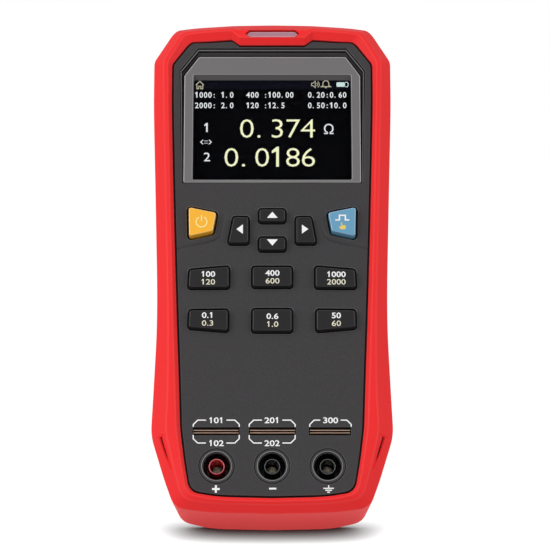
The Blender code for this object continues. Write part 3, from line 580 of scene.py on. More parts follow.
def drawn_group():
    """Fine lines along drawn or turned metal."""
    group, given, result = node_group("drawn_metal", SHADER, {
        "Color": "Color", "Roughness": "Float", "Stretch": "Vector"}, SURFACE)
    sides = {0: object_place(group), 1: given["Stretch"]}
    stretched = add_node(group, "ShaderNodeVectorMath", sides, operation="MULTIPLY").outputs[0]
    lines = noise(group, stretched, 1.0, LINE_DETAIL)
    tone = spread(group, lines, *METAL_TONE)
    feed(group, result, {"Color": scaled(group, given["Color"], tone), "Height": lines,
                         "Roughness": calc(group, "MULTIPLY", given["Roughness"], tone)})
    return group


MOULDED = moulded_group()
DRAWN = drawn_group()
print("shader groups:", MOULDED.name, DRAWN.name)

# %% [markdown]
# A finish is a material together with the slot of the model's record that it belongs to. Most finishes
# are named after their slot. Ink and glow have none of their own, and belong to one that is like them.

# %% Moulded and metal finishes
Finish = namedtuple("Finish", "material slot")
FINISHES = {}
METAL_RELIEF = 0.004


def keep_finish(name, made, slot=None):
    """Keep a material under its name, with its slot."""
    FINISHES[name] = Finish(made, slot or name)
    return FINISHES[name]


def grouped_material(name, group, values, relief, **shading):
    """A Principled material whose colour, roughness and relief come from a shader group."""
    made, tree, shader = new_material(name)
    surface = add_node(tree, "ShaderNodeGroup", values, node_tree=group).outputs
    bump = add_node(tree, "ShaderNodeBump", {"Distance": relief * MM, "Height": surface["Height"]})
    feed(tree, shader, {"Base Color": surface["Color"], "Roughness": surface["Roughness"],
                        "Normal": bump.outputs["Normal"], **shading})
    return made


def moulded(name, colour, roughness, shine=0.25, grain=0.5, relief=0.02, mottle=0.06, speckle=0.1, edge=None,
            wear=0.0, slot=None):
    """Moulded plastic or rubber, grain and relief in millimetres; edge colour shows rubbing and painted highlight.
    """
    values = {"Color": (*colour, 1.0), "Roughness": roughness, "Grain Size": grain * MM, "Mottle": mottle,
              "Speckle": speckle, "Edge Color": (*(edge or colour), 1.0), "Edge Wear": wear}
    shading = {"Metallic": 0.0, "Specular IOR Level": shine}
    return keep_finish(name, grouped_material(name, MOULDED, values, relief, **shading), slot)


def ink(name, colour, slot):
    """Printing ink."""
    return moulded(name, colour, 0.5, 0.2, grain=0.2, relief=0.002, mottle=0.04, slot=slot)


def metal(name, colour, roughness, stretch):
    """Drawn or turned metal."""
    values = {"Color": (*colour, 1.0), "Roughness": roughness, "Stretch": stretch}
    return keep_finish(name, grouped_material(name, DRAWN, values, METAL_RELIEF, Metallic=1.0))


# Each edge colour is what rounded edges are mixed towards: partly rubbing, partly a painted highlight.
HOLSTER_RED = moulded("holster_rubber", (0.88, 0.020, 0.022), 0.6, 0.25, grain=0.35, relief=0.012,
                      speckle=0.05, edge=(0.92, 0.11, 0.10), wear=0.18)
PANEL_GREY = moulded("panel_plastic", (0.041, 0.039, 0.041), 0.5, 0.2, grain=0.4, relief=0.04, speckle=0.9,
                     edge=(0.26, 0.256, 0.26), wear=0.42)
REAR_GREY = moulded("rear_plastic", (0.036, 0.036, 0.039), 0.55, 0.2, grain=0.45, relief=0.04, speckle=0.7,
                    edge=(0.075, 0.075, 0.078), wear=0.6)
BEZEL_GREY = moulded("bezel_plastic", (0.154, 0.148, 0.150), 0.38, 0.25, grain=0.25, relief=0.01,
                     edge=(0.50, 0.49, 0.49), wear=0.85)
# The display slope is the frame's plastic, painted darker as shade where it faces down.
SLOPE_SHADE_GREY = moulded("slope_plastic", (0.080, 0.077, 0.078), 0.45, 0.2, grain=0.25, relief=0.01,
                     slot="bezel_plastic")
KEY_BLACK = moulded("key_black", (0.0170, 0.0164, 0.0170), 0.35, 0.15, grain=0.3, relief=0.01,
                    edge=(0.080, 0.078, 0.081), wear=0.8)
KEY_AMBER = moulded("key_amber", (0.93, 0.46, 0.038), 0.36, 0.25, grain=0.3, relief=0.008, speckle=0.04,
                    edge=(0.97, 0.78, 0.40), wear=0.8)
KEY_BLUE = moulded("key_blue", (0.14, 0.34, 0.51), 0.36, 0.25, grain=0.3, relief=0.008, speckle=0.04,
                   edge=(0.46, 0.66, 0.82), wear=0.8)
LENS_GREY = moulded("lens_plastic", (0.40, 0.20, 0.255), 0.18, 0.4, grain=0.8, relief=0.004, speckle=0.05,
                    edge=(0.68, 0.52, 0.58), wear=0.8)
JACK_RED = moulded("red_plastic", (0.55, 0.012, 0.025), 0.2, 0.4, grain=0.5, relief=0.004,
                   edge=(0.80, 0.20, 0.24), wear=0.8)
JACK_BLACK = moulded("black_plastic", (0.008, 0.008, 0.008), 0.25, 0.3, grain=0.5, relief=0.006,
                     edge=(0.13, 0.13, 0.13), wear=0.8)
WHITE_INK = ink("white_ink", (0.90, 0.90, 0.90), "white_plastic")
CREAM_INK = ink("cream_ink", (0.80, 0.77, 0.60), "white_plastic")
YELLOW_INK = ink("yellow_ink", (0.80, 0.60, 0.12), "key_amber")
PALE_INK = ink("pale_ink", (0.95, 0.74, 0.30), "key_amber")
SOCKET_BRASS = metal("socket_brass", (0.70, 0.67, 0.61), 0.3, (300.0, 300.0, 4000.0))
LEAF_COPPER = metal("leaf_copper", (0.62, 0.43, 0.33), 0.42, (200.0, 3000.0, 3000.0))
STEEL = metal("steel", (0.56, 0.56, 0.58), 0.3, (3000.0, 300.0, 3000.0))

moulded("circuit_board", (0.02, 0.16, 0.06), 0.35, grain=1.5, relief=0.02)
moulded("silicone", (0.3, 0.3, 0.32), 0.6)
moulded("cell_wrap", (0.05, 0.15, 0.35), 0.3, grain=2.0)
moulded("wire_red", (0.5, 0.03, 0.03), 0.4)
moulded("wire_black", (0.02, 0.02, 0.02), 0.4)
moulded("white_plastic", (0.7, 0.7, 0.68), 0.45)
print("finishes:", len(FINISHES))

# %% [markdown]
# ## Display finishes
# The window is a clear pane. Behind it the panel is black, and its characters glow. A faint grid of
# picture elements breaks up both the black and the glow.

# %% Glass and glow
PIXEL_PITCH = 0.184
PIXEL_GAP, PIXEL_DEPTH = 0.18, 0.25
PANE_TINT = {"Color": (0.97, 0.98, 0.98, 1.0), "Mottle": 0.04, "Grain Size": 0.02}
UNLIT = (0.02, 0.02, 0.02)


def clear_glass(name):
    """The window over the display."""
    made, tree, shader = new_material(name)
    tint = add_node(tree, "ShaderNodeGroup", PANE_TINT, node_tree=MOULDED).outputs["Color"]
    feed(tree, shader, {"Base Color": tint, "Roughness": 0.0, "Transmission Weight": 1.0, "IOR": 1.0})
    return keep_finish(name, made)


def pixel_group():
    """A mask that is one inside a picture element and less between them."""
    group, given, result = node_group("pixel_grid", SHADER, {"Pitch": "Float", "Depth": "Float"},
                                      {"Mask": "Float"})
    split = add_node(group, "ShaderNodeSeparateXYZ", {0: object_place(group)}).outputs
    inside = []
    for axis in ("X", "Z"):
        share = calc(group, "FRACT", calc(group, "DIVIDE", split[axis], given["Pitch"]))
        inside.append(calc(group, "GREATER_THAN", share, PIXEL_GAP))
    lit = calc(group, "MULTIPLY", calc(group, "MULTIPLY", *inside), given["Depth"])
    feed(group, result, {"Mask": calc(group, "ADD", lit, calc(group, "SUBTRACT", 1.0, given["Depth"]))})
    return group


PIXELS = pixel_group()


def pixel_finish(name, base, glow, roughness=0.5):
    """A display surface: black that barely glows, or characters that glow."""
    made, tree, shader = new_material(name)
    grid = {"Pitch": PIXEL_PITCH * MM, "Depth": PIXEL_DEPTH}
    mask = add_node(tree, "ShaderNodeGroup", grid, node_tree=PIXELS).outputs["Mask"]
    feed(tree, shader, {"Base Color": (*base, 1.0), "Roughness": roughness, "Specular IOR Level": 0.0,
                        "Emission Color": scaled(tree, glow, mask), "Emission Strength": 1.0})
    return keep_finish(name, made, "lcd_glass")


GLASS = clear_glass("window_glass")
LCD_BLACK = pixel_finish("lcd_glass", (0.0015, 0.0015, 0.002), (0.0006, 0.0006, 0.0008), 0.3)
GLOW_YELLOW = pixel_finish("glow_yellow", UNLIT, (0.94, 0.94, 0.60))
GLOW_WHITE = pixel_finish("glow_white", UNLIT, (0.86, 0.88, 0.90))
GLOW_CYAN = pixel_finish("glow_cyan", UNLIT, (0.62, 0.80, 0.76))
GLOW_PALE = pixel_finish("glow_pale", UNLIT, (0.52, 0.50, 0.36))
GLOW_NAVY = pixel_finish("glow_navy", (0.002, 0.002, 0.003), (0.0026, 0.0026, 0.0052))
print("display finishes ready")

# %% [markdown]
# ## Holster
# The holster is the piece that the eye meets first. It is one moulding: a steep wall round the panel, a
# narrow crest, a broad slope to the outside, a deep side and a lip round the back. A loft suits it well.
# A short list of stations round half the outline gives, at each one, the panel's edge, the outside, where
# the crest and the ridge lie between them and how high they rise, how far the side draws in towards the
# back, and how much of its two neighbouring spans a rounded corner takes.

# %% Stations round the case
Station = namedtuple("Station", ("open_x", "open_y", "outer_x", "outer_y", "crest", "ridge", "crest_rise",
                                 "ridge_rise", "draft", "rounding"))
HALF_OUTLINE = [
    Station(0.0, 178.8, 0.0, 188.6, 0.28, 0.60, 2.2, 2.0, 0.35, 0.0),
    Station(12.2, 178.8, 12.8, 188.4, 0.28, 0.60, 2.2, 2.0, 0.35, 0.04),
    Station(15.1, 181.0, 15.6, 188.3, 0.44, 0.56, 2.1, 1.9, 0.35, 0.04),
    Station(25.0, 180.3, 29.0, 187.4, 0.44, 0.56, 2.1, 1.9, 0.35, 0.3),
    Station(30.7, 180.2, 36.8, 186.3, 0.40, 0.56, 1.8, 1.6, 0.35, 0.24),
    Station(37.4, 171.3, 44.6, 173.6, 0.26, 0.50, 1.5, 1.4, 0.35, 0.09),
    Station(37.4, 155.0, 44.6, 155.0, 0.22, 0.45, 1.5, 1.3, 0.35, 0.3),
    Station(36.3, 117.5, 43.4, 117.5, 0.22, 0.45, 1.5, 1.3, 0.5, 0.4),
    Station(34.8, 76.0, 42.1, 74.0, 0.22, 0.45, 1.5, 1.3, 0.5, 0.45),
    Station(33.5, 45.0, 43.2, 47.0, 0.18, 0.45, 1.5, 1.3, 0.7, 0.4),
    Station(33.0, 30.5, 44.1, 28.6, 0.15, 0.50, 1.4, 1.0, 1.6, 0.22),
    Station(31.5, 18.5, 39.2, 12.3, 0.17, 0.50, 1.3, 0.6, 3.2, 0.25),
    Station(29.6, 7.2, 35.3, 1.7, 0.20, 0.50, 1.0, -0.1, 2.2, 0.34),
    Station(19.0, 5.5, 22.5, 0.1, 0.30, 0.50, 0.9, -0.2, 0.35, 0.3),
    Station(0.0, 5.05, 0.0, -0.4, 0.30, 0.50, 0.9, -0.2, 0.35, 0.0),
]
CORNER_STEPS = 8


def mix(one, other, share):
    """A row of numbers part of the way from one row to another."""
    return [a + (b - a) * share for a, b in zip(one, other)]


def rounded_rows(stations):
    """The half outline with its rounded corners drawn as short curves."""
    rows = [list(station) for station in stations]
    found = []
    for i, row in enumerate(rows):
        share = stations[i].rounding
        if share == 0:
            found.append(row)
            continue
        before, after = mix(row, rows[i - 1], share), mix(row, rows[i + 1], share)
        for step in range(CORNER_STEPS + 1):
            along = step / CORNER_STEPS
            found.append(mix(mix(before, row, along), mix(row, after, along), along))
    return [Station(*row) for row in found]


ROWS = rounded_rows(HALF_OUTLINE)
print("rows round half the case:", len(ROWS))

# %% Rings round the case
SHOULDER_Z = 36.9
GAP = 0.3


def case_ring(point_of, z_of):
    """A closed ring round the case: a flat point for each row of its right half, and its height there."""
    right = []
    for row in ROWS:
        flat_point = point_of(row, Vector((row.open_x, row.open_y)), Vector((row.outer_x, row.outer_y)))
        right.append(Vector((*flat_point, z_of(row))))
    return right + [Vector((-p.x, p.y, p.z)) for p in reversed(right[1:-1])]


def inset_ring(distance, z):
    """The ring at a height that lies this far inside the drawn-in outside of the holster."""
    taper = 1.0 - z / (SHOULDER_Z + GAP)

    def point(row, opening, outer):
        return outer + (opening - outer).normalized() * (distance + row.draft * taper)
    return case_ring(point, lambda row: z)


def panel_ring(inset, z):
    """The ring that lies this far inside the edge of the panel."""
    def point(row, opening, outer):
        return opening + (opening - outer).normalized() * inset
    return case_ring(point, lambda row: z)


def lip_ring(share, rise):
    """The ring along the crest or the ridge of the holster's lip."""
    def point(row, opening, outer):
        return opening.lerp(outer, getattr(row, share))
    return case_ring(point, lambda row: PANEL_Z + getattr(row, rise))


print("points round the case:", len(inset_ring(0.0, 0.0)))

# %% Holster
PARTING_Z = 18.0
HOLSTER_WALL = 3.3
HOLSTER_EDGE_Z = PANEL_Z - 3.5
REAR_EDGE_Z = 5.0
REAR_EDGE_INSET = 1.2
REAR_LIP_WIDTH = 6.5
REAR_LIP_Z = 1.8
OPENING_EASE = 0.3
Groove = namedtuple("Groove", "path halves depths")
GROOVES = [
    Groove([(40.2, 27.5), (39.4, 24.9), (38.5, 22.2), (37.4, 18.9), (36.3, 15.6)],
           (0.75, 0.75, 0.7, 0.6, 0.35), (0.9, 0.95, 0.95, 0.8, 0.25)),
    Groove([(38.6, 28.1), (40.3, 28.0), (41.7, 27.6)], (0.15, 0.35, 0.15), (0.05, 0.45, 0.05)),
]
LENS_CORNERS = flat([(-9.7, 183.0), (-8.5, 184.05), (8.5, 184.05), (9.7, 183.0), (8.5, 181.9), (-8.5, 181.9)])
LENS_GAP = 0.4
LENS_LOW_Z = 32.8
LENS_CUT_Z = PANEL_Z + 5.0
PORT = (-6.2, 6.2, 180.0, 192.0, 20.7, 26.5)
EDGE_EASE = 0.36
EDGE_SHARE = 0.45
EDGE_STEPS = 3


def mirrored(path, side):
    """A path, or its mirror image when the side is negative."""
    return [(side * x, y) for x, y in path]


def cut_flat_on_floor(mesh):
    """Slice off what lies below the floor and close the slice."""
    body = bmesh.new()
    body.from_mesh(mesh)
    floor_point = METER.inverted() @ Vector((0.0, 0.0, 0.0))
    upwards = TURN.transposed() @ Vector((0.0, 0.0, 1.0))
    parts = body.verts[:] + body.edges[:] + body.faces[:]
    cut = bmesh.ops.bisect_plane(body, geom=parts, plane_co=floor_point, plane_no=upwards, clear_inner=True)
    edges = [item for item in cut["geom_cut"] if isinstance(item, bmesh.types.BMEdge)]
    bmesh.ops.edgeloop_fill(body, edges=edges)
    body.to_mesh(mesh)
    body.free()
    return mesh


def softened(rings):
    """Rings of a closed loft, each one opened into a short curve so that no edge is left sharp."""
    found = []
    for i, ring in enumerate(rings):
        curves = []
        for corner, back, ahead in zip(ring, rings[i - 1], rings[(i + 1) % len(rings)]):
            to_back, to_ahead = back - corner, ahead - corner
            start = corner + to_back * min(EDGE_EASE / to_back.length, EDGE_SHARE)
            end = corner + to_ahead * min(EDGE_EASE / to_ahead.length, EDGE_SHARE)
            curves.append([start.lerp(corner, t).lerp(corner.lerp(end, t), t)
                           for t in (step / EDGE_STEPS for step in range(EDGE_STEPS + 1))])
        found += [list(points) for points in zip(*curves)]
    return found


def holster_body():
    """The loft of the holster; faces that round its edges are marked for rubbing and a painted highlight."""
    rings = softened([
        panel_ring(-OPENING_EASE, SHOULDER_Z + GAP), panel_ring(-OPENING_EASE, PANEL_Z),
        lip_ring("crest", "crest_rise"), lip_ring("ridge", "ridge_rise"), inset_ring(0.0, HOLSTER_EDGE_Z),
        inset_ring(0.0, REAR_EDGE_Z), inset_ring(REAR_EDGE_INSET, 0.0), inset_ring(REAR_LIP_WIDTH, 0.0),
        inset_ring(REAR_LIP_WIDTH, REAR_LIP_Z), inset_ring(HOLSTER_WALL, REAR_LIP_Z),
        inset_ring(HOLSTER_WALL, PARTING_Z), inset_ring(HOLSTER_WALL, SHOULDER_Z + GAP),
    ])
    body = loft(rings, closed=True)
    mark = body.faces.layers.float.new("edge")
    for index, face in enumerate(body.faces):
        face[mark] = float(index // len(rings[0]) % (EDGE_STEPS + 1) < EDGE_STEPS)
    return body


holster_mesh = cut_flat_on_floor(joined([holster_body()]))
lens_hole = loft([level(moved(LENS_CORNERS, LENS_GAP), z) for z in (LENS_LOW_Z - GAP, LENS_CUT_Z)])
slope_height = height_over(holster_mesh)
corner_cuts = [v_cutter(mirrored(groove.path, side), groove.halves, groove.depths, slope_height)
               for groove in GROOVES for side in (1.0, -1.0)]
holster_mesh = carved(holster_mesh, [lens_hole, block(*PORT), *corner_cuts])
add_piece("holster_boot", holster_mesh, HOLSTER_RED, nodes=["holster"])
print("holster:", len(holster_mesh.polygons), "faces")

# %% Indicator lens
LENS_TOP_Z = PANEL_Z + 1.2
LENS_EDGE = 0.35
lens = loft(rounded_rings(LENS_CORNERS, LENS_LOW_Z, LENS_TOP_Z, LENS_EDGE, steps=4))
add_piece("indicator_window", [lens], LENS_GREY, nodes=["indicator_lens"])
print("indicator top:", round(LENS_TOP_Z, 1), "mm")

# %% [markdown]
# ## Front panel
# The panel is a plate with many holes: twelve keys, three slots, three sockets and the display. Round the
# display it falls away in a slope behind a fine strip between two grooves. A shallow crease runs round the
# power and trigger keys. The panel keeps clear of the holster, and the trench between them reads as a
# dark line.

# %% Key holes
KEY_HOLES = {
    "power": [(-31.6, 114.7), (-19.9, 112.2), (-21.4, 104.0), (-31.3, 101.7)],
    "up": [(-5.4, 113.9), (5.4, 113.9), (5.4, 107.9), (-5.4, 107.9)],
    "down": [(-5.4, 102.9), (5.4, 102.9), (5.4, 96.9), (-5.4, 96.9)],
    "left": [(-14.8, 110.9), (-8.2, 110.9), (-8.2, 99.6), (-16.9, 99.6)],
    "one": [(-30.9, 90.4), (-15.3, 91.8), (-15.3, 82.6), (-31.3, 82.5)],
    "two": [(-7.8, 91.6), (7.8, 91.6), (7.8, 82.9), (-7.8, 82.9)],
    "four": [(-30.9, 75.0), (-15.6, 75.2), (-15.6, 66.0), (-31.1, 67.4)],
    "five": [(-7.8, 75.4), (7.8, 75.4), (7.8, 65.9), (-7.8, 65.9)],
}
for twin, original in {"trigger": "power", "right": "left", "three": "one", "six": "four"}.items():
    KEY_HOLES[twin] = [(-x, y) for x, y in reversed(KEY_HOLES[original])]
KEY_CORNER, LEAST_CORNER = 1.5, 0.3
BRIGHT_KEYS = ("power", "trigger")
BRIGHT_KEY_GAP = 0.2
GAP_OVER_KEY = 0.5


def key_ring(name, offset, over=0.0):
    """The outline of a key's hole, moved outwards or inwards and drawn up at the top, its corners rounded."""
    middle = sum(y for _, y in KEY_HOLES[name]) / len(KEY_HOLES[name])
    corners = flat([(x, y + over if y > middle else y) for x, y in KEY_HOLES[name]])
    return filleted(moved(corners, offset), max(KEY_CORNER + offset, LEAST_CORNER))


def key_hole(name):
    """The outline of the hole that the panel has for a key."""
    return key_ring(name, BRIGHT_KEY_GAP if name in BRIGHT_KEYS else 0.0, GAP_OVER_KEY)


print("keys:", sorted(KEY_HOLES))

# %% Front panel outlines
SLOTS = {"high": (-20.27, 17.0), "low": (0.1, 17.0), "guard": (20.9, 15.2)}
SLOT_Y = 29.4
SLOT_HALF = 1.55
JACKS = {"positive": -20.0, "negative": 0.0, "guard": 20.0}
JACK_Y = 16.5
COLLAR_RADIUS = 6.58
COLLAR_GAP = 0.02
RECESS_RIM = both_sides([(33.9, 124.0), (34.95, 168.8), (28.05, 177.8)])
RECESS_STRIP_OUT = both_sides([(33.65, 124.1), (34.5, 168.55), (27.85, 177.25)])
RECESS_STRIP_IN = both_sides([(33.45, 124.2), (34.15, 168.4), (27.7, 176.8)])
RECESS_SLOPE = both_sides([(33.3, 124.25), (33.7, 168.05), (27.5, 176.15)])
RECESS_FOOT = both_sides([(33.2, 124.3), (33.25, 166.95), (27.7, 174.65)])
STRIP_MIDDLE = [out.lerp(inside, 0.5) for out, inside in zip(RECESS_STRIP_OUT, RECESS_STRIP_IN)]
CREASE = [(-36.0, 98.3), (-30.3, 99.8), (-25.3, 100.8), (-21.6, 101.8), (-19.4, 103.2), (-18.2, 107.0),
          (-17.8, 110.9), (-18.6, 114.0)]
CREASE_HALF = 0.56
CREASE_DEPTHS = (0.34, 0.34, 0.36, 0.4, 0.38, 0.3, 0.18, 0.03)


def slot_span(name):
    """Where a test slot starts and ends."""
    middle, length = SLOTS[name]
    return middle - length / 2, middle + length / 2


def crease(side):
    """A cutter along the crease beside a key."""
    halves = [CREASE_HALF] * len(CREASE)
    return v_cutter(mirrored(CREASE, side), halves, CREASE_DEPTHS, lambda point: PANEL_Z)


print("crease points:", len(CREASE))

# %% Front panel
CEILING_Z = 35.4
SHELL_WALL = 2.2
PANEL_INSET = 0.4
PANEL_EDGE = 0.3
HOLE_EDGE, SLOT_EDGE, COLLAR_EDGE = 0.18, 0.06, 0.12
TRENCH_Z = 35.7
TRENCH_OUTER = -0.5
STRIP_Z = 38.32
STRIP_ROUND = 0.1
OUTER_GROOVE_Z, INNER_GROOVE_Z = 36.8, 36.6
SLOPE_TOP_Z, SLOPE_FOOT_Z = 37.7, 36.3
COLLAR = [(5.15, 17.6), (6.0, 17.6), (6.0, 34.0), (COLLAR_RADIUS, 34.0), (COLLAR_RADIUS, 37.2), (6.28, 37.2),
          (6.26, 38.4), (5.52, 38.42), (5.45, 38.54), (5.36, 38.58), (5.27, 38.54), (5.2, 38.42),
          (5.15, 37.6)]
# The collar crests get a strong painted highlight; edges near the holster get a weak one, as painted shade.
COLLAR_HIGHLIGHT, RIM_SHADED_HIGHLIGHT = 2.2, 0.25
COLLAR_CREST_Z = PANEL_Z + 0.03


def recess_rings():
    """The wall, the slope, the inner groove, the fine strip and the outer groove round the display."""
    steps = [(RECESS_FOOT, CEILING_Z), (RECESS_FOOT, SLOPE_FOOT_Z), (RECESS_SLOPE, SLOPE_TOP_Z),
             (RECESS_SLOPE, INNER_GROOVE_Z), (RECESS_STRIP_IN, INNER_GROOVE_Z),
             (RECESS_STRIP_IN, STRIP_Z - STRIP_ROUND), (STRIP_MIDDLE, STRIP_Z),
             (RECESS_STRIP_OUT, STRIP_Z - STRIP_ROUND), (RECESS_STRIP_OUT, OUTER_GROOVE_Z),
             (RECESS_RIM, OUTER_GROOVE_Z), (RECESS_RIM, PANEL_Z - STRIP_ROUND),
             (moved(RECESS_RIM, STRIP_ROUND), PANEL_Z)]
    return [level(outline, z) for outline, z in steps]


def panel_plate():
    """The plate of the panel with all its holes."""
    rim = [p.xy for p in panel_ring(PANEL_INSET, 0.0)]
    slots = [box_outline(*slot_span(name), SLOT_Y - SLOT_HALF, SLOT_Y + SLOT_HALF) for name in SLOTS]
    wells = [circle(COLLAR_RADIUS + COLLAR_GAP, x, JACK_Y) for x in JACKS.values()]
    stacks = [rounded_rings(rim, CEILING_Z, PANEL_Z, PANEL_EDGE)]
    for holes, edge in (([key_hole(name) for name in KEY_HOLES], HOLE_EDGE), (slots, SLOT_EDGE),
                        (wells, COLLAR_EDGE)):
        stacks += [rounded_rings(hole, CEILING_Z, PANEL_Z, edge, hole=True) for hole in holes]
    return walled(stacks + [recess_rings()])


def panel_skirt():
    """The wall that runs from the panel down inside the holster."""
    inner, outer = HOLSTER_WALL + GAP + SHELL_WALL, HOLSTER_WALL + GAP
    return loft([inset_ring(inner, CEILING_Z), inset_ring(inner, PARTING_Z), inset_ring(outer, PARTING_Z),
                 inset_ring(outer, SHOULDER_Z), panel_ring(TRENCH_OUTER, SHOULDER_Z),
                 panel_ring(TRENCH_OUTER, TRENCH_Z), panel_ring(PANEL_INSET, TRENCH_Z),
                 panel_ring(PANEL_INSET, CEILING_Z)], closed=True)


panel_body = bmesh.new()
panel_body.from_mesh(carved(joined([panel_plate()]), [crease(1.0), crease(-1.0)]))
front_mesh = joined([panel_body, panel_skirt(), *(turned(COLLAR, x, JACK_Y) for x in JACKS.values())])
mark_edges(front_mesh)
# Painted highlight is full on the collar crests and weak on edges close to the holster, which lie in its shade.
full_highlight_area = [point.xy for point in panel_ring(PANEL_INSET + 2 * PANEL_EDGE, 0.0)]
for part in front_mesh.polygons:
    edge = front_mesh.attributes["edge"].data[part.index]
    if part.center.z > COLLAR_CREST_Z:
        edge.value = COLLAR_HIGHLIGHT
    elif edge.value and not holds(full_highlight_area, part.center):
        edge.value = RIM_SHADED_HIGHLIGHT
add_piece("front_panel", front_mesh, PANEL_GREY, nodes=["front_shell"])
print("front panel:", len(front_mesh.polygons), "faces")

# %% [markdown]
# ## Display
# A satin frame, a clear pane under it and the black panel behind. A slope leads from the frame's inner
# edge down to the pane, and it is widest along the top. It is the frame's plastic, coloured darker as painted
# shade.

# %% Bezel, window and panel
BEZEL_LOW_Z, BEZEL_TOP_Z = 36.3, 38.1
BEZEL_EDGE, BEZEL_CORNER = 0.32, 0.6
BEZEL_FACE = both_sides([(33.05, 124.45), (33.05, 166.85), (27.6, 174.45)])
CLEAR = box_outline(-29.5, 29.5, 125.7, 165.7)
CLEAR_RIM = box_outline(-29.7, 29.7, 125.5, 167.35)
SCREEN_CORNER = 0.7
RIM_EDGE, RIM_LOWER_HIGHLIGHT = 0.16, 0.5
SLOPE_GAP, SLOPE_LIP = 0.01, 0.1
WINDOW_Z, WINDOW_MARGIN = (35.5, 36.2), 0.8
LCD_Z, LCD_MARGIN = (33.0, 35.3), 2.2
PANE_EDGE = 0.1

face = filleted(BEZEL_FACE, BEZEL_CORNER, 4)
rim = filleted(CLEAR_RIM, SCREEN_CORNER)
bezel_mesh = joined([walled([rounded_rings(face, BEZEL_LOW_Z, BEZEL_TOP_Z, BEZEL_EDGE),
                             rounded_rings(rim, BEZEL_LOW_Z, BEZEL_TOP_Z, RIM_EDGE, hole=True)])])
# Faces of the frame that face down get less painted highlight.
mark_edges(bezel_mesh, RIM_LOWER_HIGHLIGHT)
add_piece("display_frame", bezel_mesh, BEZEL_GREY, nodes=["display_bezel"])
clear, under_rim = filleted(CLEAR, SCREEN_CORNER), moved(rim, -SLOPE_GAP)
slope = loft([level(under_rim, BEZEL_LOW_Z), level(clear, BEZEL_LOW_Z), level(clear, BEZEL_LOW_Z + SLOPE_LIP),
              level(under_rim, BEZEL_TOP_Z - RIM_EDGE)], closed=True)
add_piece("display_slope", [slope], SLOPE_SHADE_GREY)
pane = walled([rounded_rings(moved(CLEAR, WINDOW_MARGIN), *WINDOW_Z, PANE_EDGE)])
add_piece("display_pane", [pane], GLASS, nodes=["display_window"])
lcd = walled([rounded_rings(moved(CLEAR, LCD_MARGIN), *LCD_Z, PANE_EDGE)])
add_piece("display_panel", [lcd], LCD_BLACK, nodes=["lcd_panel"])
print("display:", [round(v, 1) for v in CLEAR[2] - CLEAR[0]], "mm clear")

# %% [markdown]
# ## Print and characters
# Print on the panel, on the keys and on the display is all made in the same way: thin flat shapes that
# lie on the surface. Numbers come from Blender's own font, made into a mesh. Lines are drawn as strokes,
# which are outlines on both sides of a path. A sign is a few lines round its own middle.

# %% Stroke helpers
INK = 0.03
LIFT = 0.006
Line = namedtuple("Line", "path width closed", defaults=(False,))


def sheet(points, z):
    """A thin flat shape lying on a height."""
    return loft([level(points, z + LIFT), level(points, z + LIFT + INK)])


def stroke(path, width, z, closed=False):
    """A thin line of some width along a path of flat points."""
    points = flat(path)
    count = len(points)
    left, right = [], []
    for i, point in enumerate(points):
        runs = [(point - points[i - 1]).normalized()] if i or closed else []
        runs += [(points[(i + 1) % count] - point).normalized()] if i + 1 < count or closed else []
        normals = [Vector((-run.y, run.x)) for run in runs]
        across = sum(normals, Vector((0.0, 0.0)))
        across = across * (width / 2) * len(normals) / across.length_squared
        left.append(point + across)
        right.append(point - across)
    if not closed:
        return sheet(left + right[::-1], z)
    low, high = z + LIFT, z + LIFT + INK
    return loft([level(left, low), level(left, high), level(right, high), level(right, low)], closed=True)


def arc(x, y, radius, start, end, steps=24):
    """Flat points along an arc, its angles in degrees."""
    turns = [math.radians(start + (end - start) * i / steps) for i in range(steps + 1)]
    return [(x + radius * math.cos(t), y + radius * math.sin(t)) for t in turns]


def moved_to(path, x, y):
    """A path drawn round nought, moved to a place."""
    return [(x + across, y + up) for across, up in path]


def sign(lines, x, y, z):
    """The strokes of a sign at a place."""
    return [stroke(moved_to(line.path, x, y), line.width, z, line.closed) for line in lines]


print("stroke helpers ready")

# %% Character helpers
CAP_HEIGHT = 0.729
ONE_STEM = 0.16
FLAG_REACH, FLAG_DROP, FLAG_FOOT = 0.27, 0.2, 0.17
POINT_CELL, DIGIT_CELL = 0.36, 0.68
POINT_PLACE = 0.29
WELD = 0.0001


def figure_one(height, x, y, z, weight):
    """The figure 1 with a flag, which the built-in font draws as a bare bar."""
    half = (ONE_STEM / 2 + weight / CAP_HEIGHT) * height
    top, foot = y + height / 2, y - height / 2
    reach, drop = x - FLAG_REACH * height, top - FLAG_DROP * height
    return sheet(flat([(x + half, foot), (x + half, top), (x - half / 2, top), (reach, drop),
                       (reach, drop - 2 * half), (x - half, top - FLAG_FOOT * height - half),
                       (x - half, foot)]), z)


def glyph(character, height, x, y, z, stretch=1.0, weight=0.0):
    """One character of a given height, centred on a point."""
    if character == "1":
        return figure_one(height, x, y, z, weight)
    curve = bpy.data.curves.new("glyph", "FONT")
    curve.body = character
    curve.align_x = "CENTER"
    curve.size = 1.0
    curve.extrude = INK / 2
    curve.offset = weight
    curve.resolution_u = 3
    mesh = evaluated(bench(curve))
    body = bmesh.new()
    body.from_mesh(mesh)
    bpy.data.meshes.remove(mesh)
    scale = height / CAP_HEIGHT
    for vertex in body.verts:
        vertex.co.x = vertex.co.x * scale * stretch + x
        vertex.co.y = (vertex.co.y - CAP_HEIGHT / 2) * scale + y
        vertex.co.z += z + LIFT + INK / 2
    bmesh.ops.remove_doubles(body, verts=body.verts, dist=WELD)
    return body


